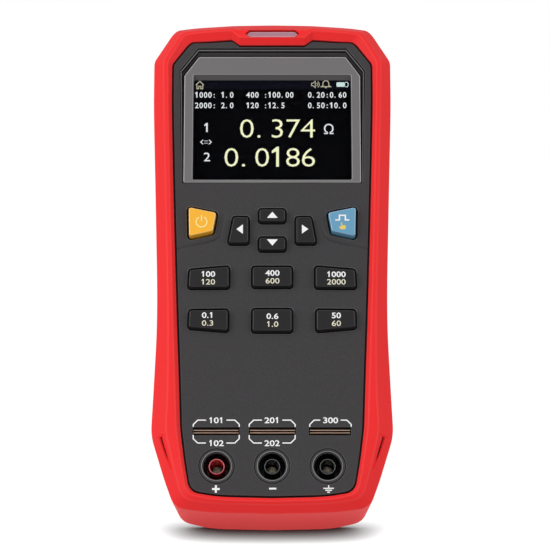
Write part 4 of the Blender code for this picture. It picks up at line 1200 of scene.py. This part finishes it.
def spaced(text, height, pitch, x, y, z, stretch=1.0, weight=0.0):
    """Characters one to a cell, from a left edge, with points drawn up to the figure before them."""
    shares = [POINT_PLACE if character == "." else HALFWAY for character in text]
    return [glyph(character, height, x + pitch * (i + share), y, z, stretch, weight)
            for i, (character, share) in enumerate(zip(text, shares)) if character != " "]


def number(text, height, x, y, z, stretch=1.0, weight=0.0):
    """Characters in a row, centred on a point."""
    cells = [height * stretch * (POINT_CELL if character == "." else DIGIT_CELL) for character in text]
    left = x - sum(cells) / 2
    found = []
    for character, cell in zip(text, cells):
        found.append(glyph(character, height, left + cell / 2, y, z, stretch, weight))
        left += cell
    return found


print("character helpers ready")

# %% Characters on the display
LCD_TOP = LCD_Z[1]
BIG_HEIGHT, BIG_PITCH, BIG_STRETCH, BIG_WEIGHT = 7.9, 5.75, 1.13, -0.01
SMALL_HEIGHT, SMALL_PITCH, SMALL_STRETCH, SMALL_WEIGHT = 2.3, 1.64, 0.9, 0.014
READINGS = [("0.374", -12.4, 147.05), ("0.0186", -18.15, 135.6)]
SMALL_ROWS = [("1000: 1.0", -29.2, 160.3), ("400 :100.00", -9.9, 160.3), ("0.20:0.60", 13.3, 160.3),
              ("2000: 2.0", -29.2, 156.1), ("120 :12.5", -9.9, 156.1), ("0.50:10.0", 13.3, 156.1)]
ROW_MARKS = [("1", 3.6, -24.5, 147.2, 1.1), ("2", 3.6, -24.4, 135.6, 1.1), ("Ω", 4.0, 21.2, 146.6, 1.0)]
STATUS_BAR = box_outline(-29.6, 29.6, 162.45, 166.8)

big = []
for text, x, y in READINGS:
    big += spaced(text, BIG_HEIGHT, BIG_PITCH, x, y, LCD_TOP, BIG_STRETCH, BIG_WEIGHT)
add_piece("reading_digits", big, GLOW_YELLOW)
small = [glyph(mark, height, x, y, LCD_TOP, stretch) for mark, height, x, y, stretch in ROW_MARKS]
for text, x, y in SMALL_ROWS:
    small += spaced(text, SMALL_HEIGHT, SMALL_PITCH, x, y, LCD_TOP, SMALL_STRETCH, SMALL_WEIGHT)
add_piece("display_status_bar", [sheet(STATUS_BAR, LCD_TOP - INK)], GLOW_NAVY)
print("display characters:", len(big) + len(small))

# %% Signs on the display
ICON_LINE, FINE_LINE, FAINT_LINE = 0.32, 0.25, 0.16
CLAPPER_LINE, BATTERY_LINE = 0.3, 0.28
HOUSE = [
    Line([(-1.5, 0.1), (0.0, 1.6), (1.5, 0.1)], ICON_LINE),
    Line([(-1.1, 0.3), (-1.1, -1.4), (-0.4, -1.4), (-0.4, -0.4), (0.4, -0.4), (0.4, -1.4), (1.1, -1.4),
          (1.1, 0.3)], ICON_LINE),
]
SPEAKER = [
    Line([(-1.6, 0.5), (-1.0, 0.5), (-0.2, 1.3), (-0.2, -1.3), (-1.0, -0.5), (-1.6, -0.5)], FINE_LINE, True),
    *(Line(arc(-0.2, 0.0, radius, -50, 50, 8), FINE_LINE) for radius in (0.8, 1.5)),
]
BELL = [
    Line([(-1.7, -0.9), (-1.1, -0.5), *arc(0.0, 0.4, 1.1, 180, 0, 12), (1.1, -0.5), (1.7, -0.9)], ICON_LINE,
         True),
    Line([(-0.4, -1.3), (0.4, -1.3)], CLAPPER_LINE),
]
SWAP_ARROWS = [
    *(Line([(side * 1.1, 0.85), (side * 2.0, 0.0), (side * 1.1, -0.85)], ICON_LINE) for side in (1.0, -1.0)),
    *(Line([(-0.7, up), (0.7, up)], FAINT_LINE) for up in (0.45, -0.45)),
]
BATTERY_FULL, BATTERY_CORNER = box_outline(24.2, 27.4, 163.5, 165.3), 0.4
BATTERY_END = [(27.5, 163.5), (28.3, 163.5), (28.6, 164.0), (28.6, 164.8), (28.3, 165.3), (27.5, 165.3)]

small += sign(SWAP_ARROWS, -24.8, 141.4, LCD_TOP)
add_piece("display_small_print", small, GLOW_WHITE)
signs = []
for lines, x, y in ((HOUSE, -27.3, 164.1), (SPEAKER, 16.4, 164.45), (BELL, 20.2, 164.45)):
    signs += sign(lines, x, y, LCD_TOP)
add_piece("display_signs", signs, GLOW_PALE)
battery = [sheet(filleted(BATTERY_FULL, BATTERY_CORNER), LCD_TOP), stroke(BATTERY_END, BATTERY_LINE, LCD_TOP)]
add_piece("display_battery_sign", battery, GLOW_CYAN)
print("display signs:", len(signs) + len(battery))

# %% [markdown]
# ## Keys
# Each key is a cap in a hole, on a black foot whose flange under the panel keeps it in. The caps stand two
# millimetres proud with rounded edges. Every key has its own pieces, because every key moves.

# %% Keys
KEY_TOP_Z = PANEL_Z + 2.1
KEY_STEPS = 5
# Key edges that face down get less painted highlight.
LOWER_EDGE_HIGHLIGHT = 0.3
KeyFit = namedtuple("KeyFit", "clearance draft edge lean")
BLACK_FIT, BRIGHT_FIT = KeyFit(0.35, 0.4, 0.35, 0.0), KeyFit(0.65, 0.05, 0.45, 0.25)
KEY_FOOT = [(-2.2, 28.3), (-2.2, 33.9), (0.9, 33.9), (0.9, 35.1)]
CAP_WALL_Z = (34.9, PANEL_Z - 0.3)
KEY_FINISH = {"power": KEY_AMBER, "trigger": KEY_BLUE}
KEY_BODY = {name: f"{name}_key" for name in ("power", "trigger", "up", "down", "left", "right")}
KEY_BODY.update({name: f"function_key_{name}" for name in ("one", "two", "three", "four", "five", "six")})


def key_cap(name):
    """A cap with a rounded top edge, its top drawn up the panel a little where the fit asks for it."""
    fit = BRIGHT_FIT if name in BRIGHT_KEYS else BLACK_FIT
    rings = [level(key_ring(name, -fit.clearance), z) for z in CAP_WALL_Z]
    for step in range(KEY_STEPS + 1):
        turn = math.pi / 2 * step / KEY_STEPS
        offset = -fit.clearance - fit.draft - fit.edge * (1 - math.cos(turn))
        ring = [point + Vector((0.0, fit.lean)) for point in key_ring(name, offset)]
        rings.append(level(ring, KEY_TOP_Z - fit.edge * (1 - math.sin(turn))))
    return loft(rings)


for name, body in KEY_BODY.items():
    cap = joined([key_cap(name)])
    mark_edges(cap, LOWER_EDGE_HIGHLIGHT)
    add_piece(f"{name}_cap", cap, KEY_FINISH.get(name, KEY_BLACK), body, [f"key_{name}"])
    foot = loft([level(key_ring(name, offset), z) for offset, z in KEY_FOOT])
    add_piece(f"{name}_foot", [foot], KEY_BLACK, body)
print("key caps:", len(KEY_BODY))

# %% Print on the keys
ARROWS = {
    "up": [(-1.95, 109.8), (2.05, 109.8), (0.05, 112.2)],
    "down": [(-1.95, 101.5), (2.05, 101.5), (0.05, 99.05)],
    "left": [(-13.2, 105.45), (-10.8, 107.3), (-10.8, 103.6)],
    "right": [(13.3, 105.45), (10.95, 107.2), (10.95, 103.7)],
}
KEY_NUMBERS = {
    "one": ("100", "120", -23.5, 88.2, 85.2), "two": ("400", "600", 0.1, 88.6, 85.6),
    "three": ("1000", "2000", 23.5, 88.1, 85.2), "four": ("0.1", "0.3", -23.5, 72.5, 69.5),
    "five": ("0.6", "1.0", 0.1, 72.1, 69.1), "six": ("50", "60", 23.4, 72.4, 69.4),
}
KEY_PRINT_HEIGHT = 2.15
KEY_PRINT_STRETCH = 1.2
MAIN_WEIGHT, SECOND_WEIGHT = 0.018, 0.006
KEY_LINE = 0.5
POWER_SIGN = [Line(arc(0.0, 0.0, 2.0, 120, 420), KEY_LINE), Line([(0.0, 0.3), (0.0, 2.5)], KEY_LINE)]
PULSE_SIGN = [Line([(-2.6, -0.9), (-1.1, -0.9), (-1.1, 0.9), (1.1, 0.9), (1.1, -0.9), (2.6, -0.9)], KEY_LINE)]
HAND = [(-0.5, 1.4), (-0.1, 1.4), (-0.1, 0.3), (1.2, 0.2), (1.3, -0.6), (0.9, -1.3), (-0.7, -1.3),
        (-1.3, -0.4), (-1.1, -0.1), (-0.5, -0.4)]
POWER_PLACE, PULSE_PLACE, HAND_PLACE = (-26.1, 108.3), (25.9, 109.9), (25.9, 106.7)

for name, corners in ARROWS.items():
    add_piece(f"{name}_arrow", [sheet(flat(corners), KEY_TOP_Z)], WHITE_INK, KEY_BODY[name])
for name, (main, second, x, main_y, second_y) in KEY_NUMBERS.items():
    upper = number(main, KEY_PRINT_HEIGHT, x, main_y, KEY_TOP_Z, KEY_PRINT_STRETCH, MAIN_WEIGHT)
    lower = number(second, KEY_PRINT_HEIGHT, x, second_y, KEY_TOP_Z, KEY_PRINT_STRETCH, SECOND_WEIGHT)
    add_piece(f"{name}_number", upper, WHITE_INK, KEY_BODY[name])
    add_piece(f"{name}_second_number", lower, CREAM_INK, KEY_BODY[name])
add_piece("power_sign", sign(POWER_SIGN, *POWER_PLACE, KEY_TOP_Z), PALE_INK, KEY_BODY["power"])
add_piece("pulse_sign", sign(PULSE_SIGN, *PULSE_PLACE, KEY_TOP_Z), WHITE_INK, KEY_BODY["trigger"])
hand = sheet(flat(moved_to(HAND, *HAND_PLACE)), KEY_TOP_Z)
add_piece("hand_sign", [hand], YELLOW_INK, KEY_BODY["trigger"])
print("printed keys:", len(ARROWS) + len(KEY_NUMBERS) + 2)

# %% [markdown]
# ## Print on the panel
# Brackets join each test slot to its number. The sockets carry a plus, a minus and a guard sign.

# %% Panel print
BRACKET_LINE = 0.42
BRACKET_X = [(-28.5, -11.9), (-8.3, 8.3), (13.6, 28.6)]
UPPER_Y, UPPER_END_Y = 33.5, 31.0
LOWER_Y, LOWER_END_Y = 25.0, 28.0
BRACKET_CHAMFER = 1.6
BRACKET_GAP = 3.7
BRACKET_NUMBER_HEIGHT, BRACKET_NUMBER_STRETCH = 2.2, 1.25
PLUS_HALF, PLUS_LINE = 1.375, 0.375
PLUS_QUARTER = [(PLUS_LINE, PLUS_LINE), (PLUS_LINE, PLUS_HALF), (-PLUS_LINE, PLUS_HALF)]
MINUS_SIGN = [Line([(-1.3, 0.0), (1.3, 0.0)], 0.65)]
GUARD_LINE = 0.42
GUARD_BARS = [(1.9, 0.1), (1.2, -0.6), (0.5, -1.3)]
GUARD_SIGN = [Line([(0.0, 1.2), (0.0, 0.31)], GUARD_LINE)]
GUARD_SIGN += [Line([(-half, up), (half, up)], GUARD_LINE) for half, up in GUARD_BARS]
PLUS_PLACE, MINUS_PLACE, GUARD_PLACE = (-20.2, 8.05), (0.2, 8.2), (20.3, 8.2)


def bracket(x0, x1, y, end_y, text):
    """Two bent lines and a number between them."""
    slant = BRACKET_CHAMFER if end_y < y else -BRACKET_CHAMFER
    middle = (x0 + x1) / 2
    found = number(text, BRACKET_NUMBER_HEIGHT, middle, y, PANEL_Z, BRACKET_NUMBER_STRETCH, MAIN_WEIGHT)
    for x, side in ((x0, 1.0), (x1, -1.0)):
        path = [(x, end_y), (x, y - slant), (x + side * abs(slant), y), (middle - side * BRACKET_GAP, y)]
        found.append(stroke(path, BRACKET_LINE, PANEL_Z))
    return found


def plus_outline():
    """The outline of a plus sign: three corners of it, turned by a right angle three times."""
    found, corners = [], PLUS_QUARTER
    for _ in range(4):
        found += corners
        corners = [(-y, x) for x, y in corners]
    return found


marks = [sheet(flat(moved_to(plus_outline(), *PLUS_PLACE)), PANEL_Z)]
marks += sign(MINUS_SIGN, *MINUS_PLACE, PANEL_Z) + sign(GUARD_SIGN, *GUARD_PLACE, PANEL_Z)
for (x0, x1), upper, lower in zip(BRACKET_X, ("101", "201", "300"), ("102", "202", None)):
    marks += bracket(x0, x1, UPPER_Y, UPPER_END_Y, upper)
    if lower:
        marks += bracket(x0, x1, LOWER_Y, LOWER_END_Y, lower)
add_piece("panel_print", marks, WHITE_INK)
print("panel marks:", len(marks))

# %% [markdown]
# ## Sockets and slots
# Each socket is a dark well. In it stands an insulating tube, and deep in that lies the plated contact. In
# each test slot a pair of copper leaves meets, and only their rolled-over lips show.

# %% Sockets
LINER = [(4.55, 18.5), (5.12, 18.5), (5.12, 37.3), (5.0, 37.5), (4.9, 37.4), (4.85, 36.0)]
SLEEVE = [(2.3, 15.9), (4.5, 15.9), (4.5, 18.3), (2.88, 18.3), (2.88, 37.3), (2.83, 37.5), (2.72, 37.58),
          (2.6, 37.5), (2.52, 37.3), (2.46, 34.6)]
CONTACT = [(1.0, 12.4), (1.0, 16.9), (2.2, 16.9), (2.2, 28.3), (2.1, 28.5), (2.0, 28.4), (1.95, 28.0),
           (1.95, 19.4), (0.4, 18.0)]
for name, x in JACKS.items():
    finish = JACK_RED if name == "positive" else JACK_BLACK
    add_piece(f"{name}_well", [turned(LINER, x, JACK_Y)], JACK_BLACK)
    add_piece(f"{name}_sleeve", [turned(SLEEVE, x, JACK_Y)], finish, nodes=[f"jack_sleeve_{name}"])
    contact = turned(CONTACT, x, JACK_Y, closed=False)
    add_piece(f"{name}_contact", [contact], SOCKET_BRASS, nodes=[f"jack_contact_{name}"])
print("sockets:", list(JACKS))

# %% Slot contacts
LEAF_PATH = [(1.15, 27.5), (1.15, 30.0), (0.6, 34.2), (0.46, 36.9), (0.42, 37.5)]
LEAF_THICKNESS = 0.14
LEAF_END_GAP = 0.35
LIP_PLACE, LIP_RADIUS = (0.5, 37.7), 0.15


def leaf(name, hand):
    """A springy strip with its end rolled into a lip, pulled along its slot."""
    one_side, other_side = [], []
    for point, across in along_path(flat(LEAF_PATH)):
        one_side.append(point + across * LEAF_THICKNESS / 2)
        other_side.append(point - across * LEAF_THICKNESS / 2)
    lip = flat(arc(*LIP_PLACE, LIP_RADIUS, 200, -20, 10))
    profile = one_side[:-1] + lip + other_side[-2::-1]
    start, end = slot_span(name)
    return loft([[Vector((x, SLOT_Y + hand * p.x, p.y)) for p in profile]
                 for x in (start + LEAF_END_GAP, end - LEAF_END_GAP)])


for name in SLOTS:
    for word, hand in (("upper", 1.0), ("lower", -1.0)):
        add_piece(f"{name}_{word}_leaf", [leaf(name, hand)], LEAF_COPPER, nodes=[f"contact_{name}_{word}"])
print("leaves:", 2 * len(SLOTS))

# %% [markdown]
# ## Back
# Behind the panel the shapes of the CAD model are right, but their edges are knife sharp. A copy of each
# shape has its edges eased, as a moulding's are.

# %% Eased copies of the model's own shapes
SAME_PLACE = 0.00001
SAME_PLANE = math.radians(1.0)
EASED = {
    "rear_shell": ("back_shell", 0.25, REAR_GREY, BODY),
    "battery_door": ("back_door", 0.25, REAR_GREY, BODY),
    "kickstand": ("stand_plate", 0.4, REAR_GREY, "stand"),
    "port_cover": ("port_plug_cap", 0.4, HOLSTER_RED, "port_plug"),
}


def own_copy(node):
    """A model's node as a clean mesh, in millimetres on the meter."""
    body = bmesh.new()
    body.from_mesh(frame["nodes"][node].data)
    bmesh.ops.remove_doubles(body, verts=body.verts, dist=SAME_PLACE)
    bmesh.ops.transform(body, matrix=METER.inverted(), verts=body.verts)
    bmesh.ops.dissolve_limit(body, angle_limit=SAME_PLANE, verts=body.verts, edges=body.edges)
    return joined([body])


for node, (name, width, finish, body) in EASED.items():
    mesh = eased(own_copy(node), width)
    add_piece(name, mesh, finish, body, [node])
    print(name, len(mesh.polygons), "faces")

# %% [markdown]
# ## Screws and grip ribs
# Four screws with cross recesses hold the back on, and a fifth holds the battery door. Rows of ribs give
# the fingers a grip on the holster's sides, on the stand and on the door. Both repeat, so two node trees
# make them: one sets a screw on every point, the other sets a rib at every step along a path. The sizes
# are inputs of the trees, so one tree serves several rows.

# %% Node trees for what repeats
GEOMETRY = {"Geometry": "Geometry"}


def repeating_tree(name, sizes):
    """A geometry node tree with its sizes as named inputs."""
    inputs = {**GEOMETRY, **sizes, "Finish": "Material"}
    return node_group(name, "GeometryNodeTree", inputs, GEOMETRY)


def set_on_points(tree, given, result, placing):
    """Put an instance on every point, make the instances real and give them their finish."""
    place = add_node(tree, "GeometryNodeInstanceOnPoints", placing)
    real = add_node(tree, "GeometryNodeRealizeInstances", {"Geometry": place.outputs["Instances"]})
    coat = {"Geometry": real.outputs["Geometry"], "Material": given["Finish"]}
    feed(tree, result, {"Geometry": add_node(tree, "GeometryNodeSetMaterial", coat).outputs["Geometry"]})


def lifted(tree, shape, height, turn=0.0):
    """A shape moved up by a height and turned by an angle."""
    offset = add_node(tree, "ShaderNodeCombineXYZ", {"Z": height}).outputs[0]
    move = {"Geometry": shape, "Translation": offset, "Rotation": (0.0, 0.0, turn)}
    return add_node(tree, "GeometryNodeTransform", move).outputs["Geometry"]


def screw_tree():
    """A screw on every point, the underside of its head there and its head towards the back."""
    sizes = ["Head Radius", "Head Top Radius", "Head Height", "Shank Radius", "Shank Length"]
    tree, given, result = repeating_tree("screws", {**{size: "Float" for size in sizes}, "Recess": "Vector"})
    head = add_node(tree, "GeometryNodeMeshCone", {
        "Radius Bottom": given["Head Radius"], "Radius Top": given["Head Top Radius"],
        "Depth": given["Head Height"]})
    shank = add_node(tree, "GeometryNodeMeshCylinder", {"Radius": given["Shank Radius"],
                                                        "Depth": given["Shank Length"]})
    bar = add_node(tree, "GeometryNodeMeshCube", {"Size": given["Recess"]}).outputs["Mesh"]
    recess = add_node(tree, "GeometryNodeMeshBoolean", {"Mesh 1": head.outputs["Mesh"]}, solver="EXACT")
    for turn in (0.0, math.pi / 2):
        feed(tree, recess, {"Mesh 2": lifted(tree, bar, given["Head Height"], turn)})
    half_down = calc(tree, "MULTIPLY", given["Shank Length"], -0.5)
    whole = add_node(tree, "GeometryNodeJoinGeometry", {0: recess.outputs["Mesh"]})
    feed(tree, whole, {0: lifted(tree, shank.outputs["Mesh"], half_down)})
    set_on_points(tree, given, result, {"Points": given["Geometry"], "Instance": whole.outputs[0],
                                        "Rotation": (math.pi, 0.0, 0.0)})
    return tree


def rib_tree():
    """A rounded rib at every step along a path."""
    tree, given, result = repeating_tree("ribs", {"Pitch": "Float", "Half Size": "Vector"})
    path = add_node(tree, "GeometryNodeMeshToCurve", {"Mesh": given["Geometry"]}).outputs["Curve"]
    steps = add_node(tree, "GeometryNodeResampleCurve", mode="LENGTH")
    feed(tree, steps, {"Curve": path, "Length": given["Pitch"]})
    rib = add_node(tree, "GeometryNodeMeshUVSphere", {"Radius": 1.0})
    set_on_points(tree, given, result, {"Points": steps.outputs["Curve"], "Instance": rib.outputs["Mesh"],
                                        "Scale": given["Half Size"]})
    return tree


def grown(tree, points, finish, sizes, along=False):
    """The plain mesh that a node tree makes on points, or along the path through them."""
    mesh = bpy.data.meshes.new(tree.name)
    mesh.from_pydata(points, [(i, i + 1) for i in range(len(points) - 1)] if along else [], [])
    obj = bench(mesh)
    step = obj.modifiers.new("nodes", "NODES")
    step.node_group = tree
    values = {**sizes, "Finish": finish.material}
    for socket in tree.interface.items_tree:
        if socket.in_out == "INPUT" and socket.name in values:
            step[socket.identifier] = values[socket.name]
    return evaluated(obj)


SCREWS, RIBS = screw_tree(), rib_tree()
print("node trees:", SCREWS.name, RIBS.name)

# %% Screws
CASE_SCREWS = [(-24.0, 176.5, 8.7), (24.0, 176.5, 8.7), (-30.0, 44.0, 8.7), (30.0, 44.0, 8.7)]
CASE_SCREW = {"Head Radius": 2.7, "Head Top Radius": 2.25, "Head Height": 1.9, "Shank Radius": 1.4,
              "Shank Length": 21.3, "Recess": (3.3, 0.7, 2.0)}
DOOR_SCREWS = [(0.0, 88.5, 5.9)]
DOOR_SCREW = {"Head Radius": 2.5, "Head Top Radius": 2.1, "Head Height": 1.2, "Shank Radius": 1.1,
              "Shank Length": 6.1, "Recess": (3.0, 0.65, 1.4)}
add_piece("case_screws", grown(SCREWS, CASE_SCREWS, STEEL, CASE_SCREW), STEEL,
          nodes=[f"case_screw_{i + 1}" for i in range(len(CASE_SCREWS))])
add_piece("door_screw", grown(SCREWS, DOOR_SCREWS, STEEL, DOOR_SCREW), STEEL, nodes=["battery_door_screw"])
print("screws:", len(CASE_SCREWS) + len(DOOR_SCREWS))

# %% Grip ribs
SIDE_GRIP_Y, SIDE_GRIP_Z = (78.0, 134.0), 17.0
SIDE_RIB = {"Pitch": 4.6, "Half Size": (0.5, 1.0, 7.5)}
STAND_OPEN = math.radians(36.0)
STAND_GRIP = [(0.0, -66.0, -3.4), (0.0, -98.0, -3.4)]
STAND_RIB = {"Pitch": 4.0, "Half Size": (11.0, 0.8, 0.45)}
DOOR_GRIP = [(0.0, 31.0, 5.3), (0.0, 37.0, 5.3)]
DOOR_RIB = {"Pitch": 2.0, "Half Size": (6.0, 0.5, 0.3)}

grip_path = [p for p in inset_ring(0.0, SIDE_GRIP_Z) if p.x > 0 and SIDE_GRIP_Y[0] < p.y < SIDE_GRIP_Y[1]]
for word, side in (("right", 1.0), ("left", -1.0)):
    path = [Vector((side * p.x, p.y, p.z)) for p in grip_path]
    add_piece(f"{word}_grip", grown(RIBS, path, HOLSTER_RED, SIDE_RIB, along=True), HOLSTER_RED)
stand_ribs = grown(RIBS, STAND_GRIP, REAR_GREY, STAND_RIB, along=True)
stand_ribs.transform(Matrix.Translation(HINGE) @ Matrix.Rotation(STAND_OPEN, 4, "X"))
add_piece("stand_grip", stand_ribs, REAR_GREY, "stand")
add_piece("door_grip", grown(RIBS, DOOR_GRIP, REAR_GREY, DOOR_RIB, along=True), REAR_GREY)
print("grip path:", [round(p.y, 1) for p in grip_path])

# %% [markdown]
# ## Inside
# The boards, wires and screws inside keep their model shapes and take finishes from the same set.

# %% Finishes for the pieces inside
for entry in frame["record"]["subparts"]:
    node = frame["nodes"][entry["node"]]
    node.data.materials.clear()
    node.data.materials.append(FINISHES[entry["material_slot"]].material)

# %% Done
print("scene ready")
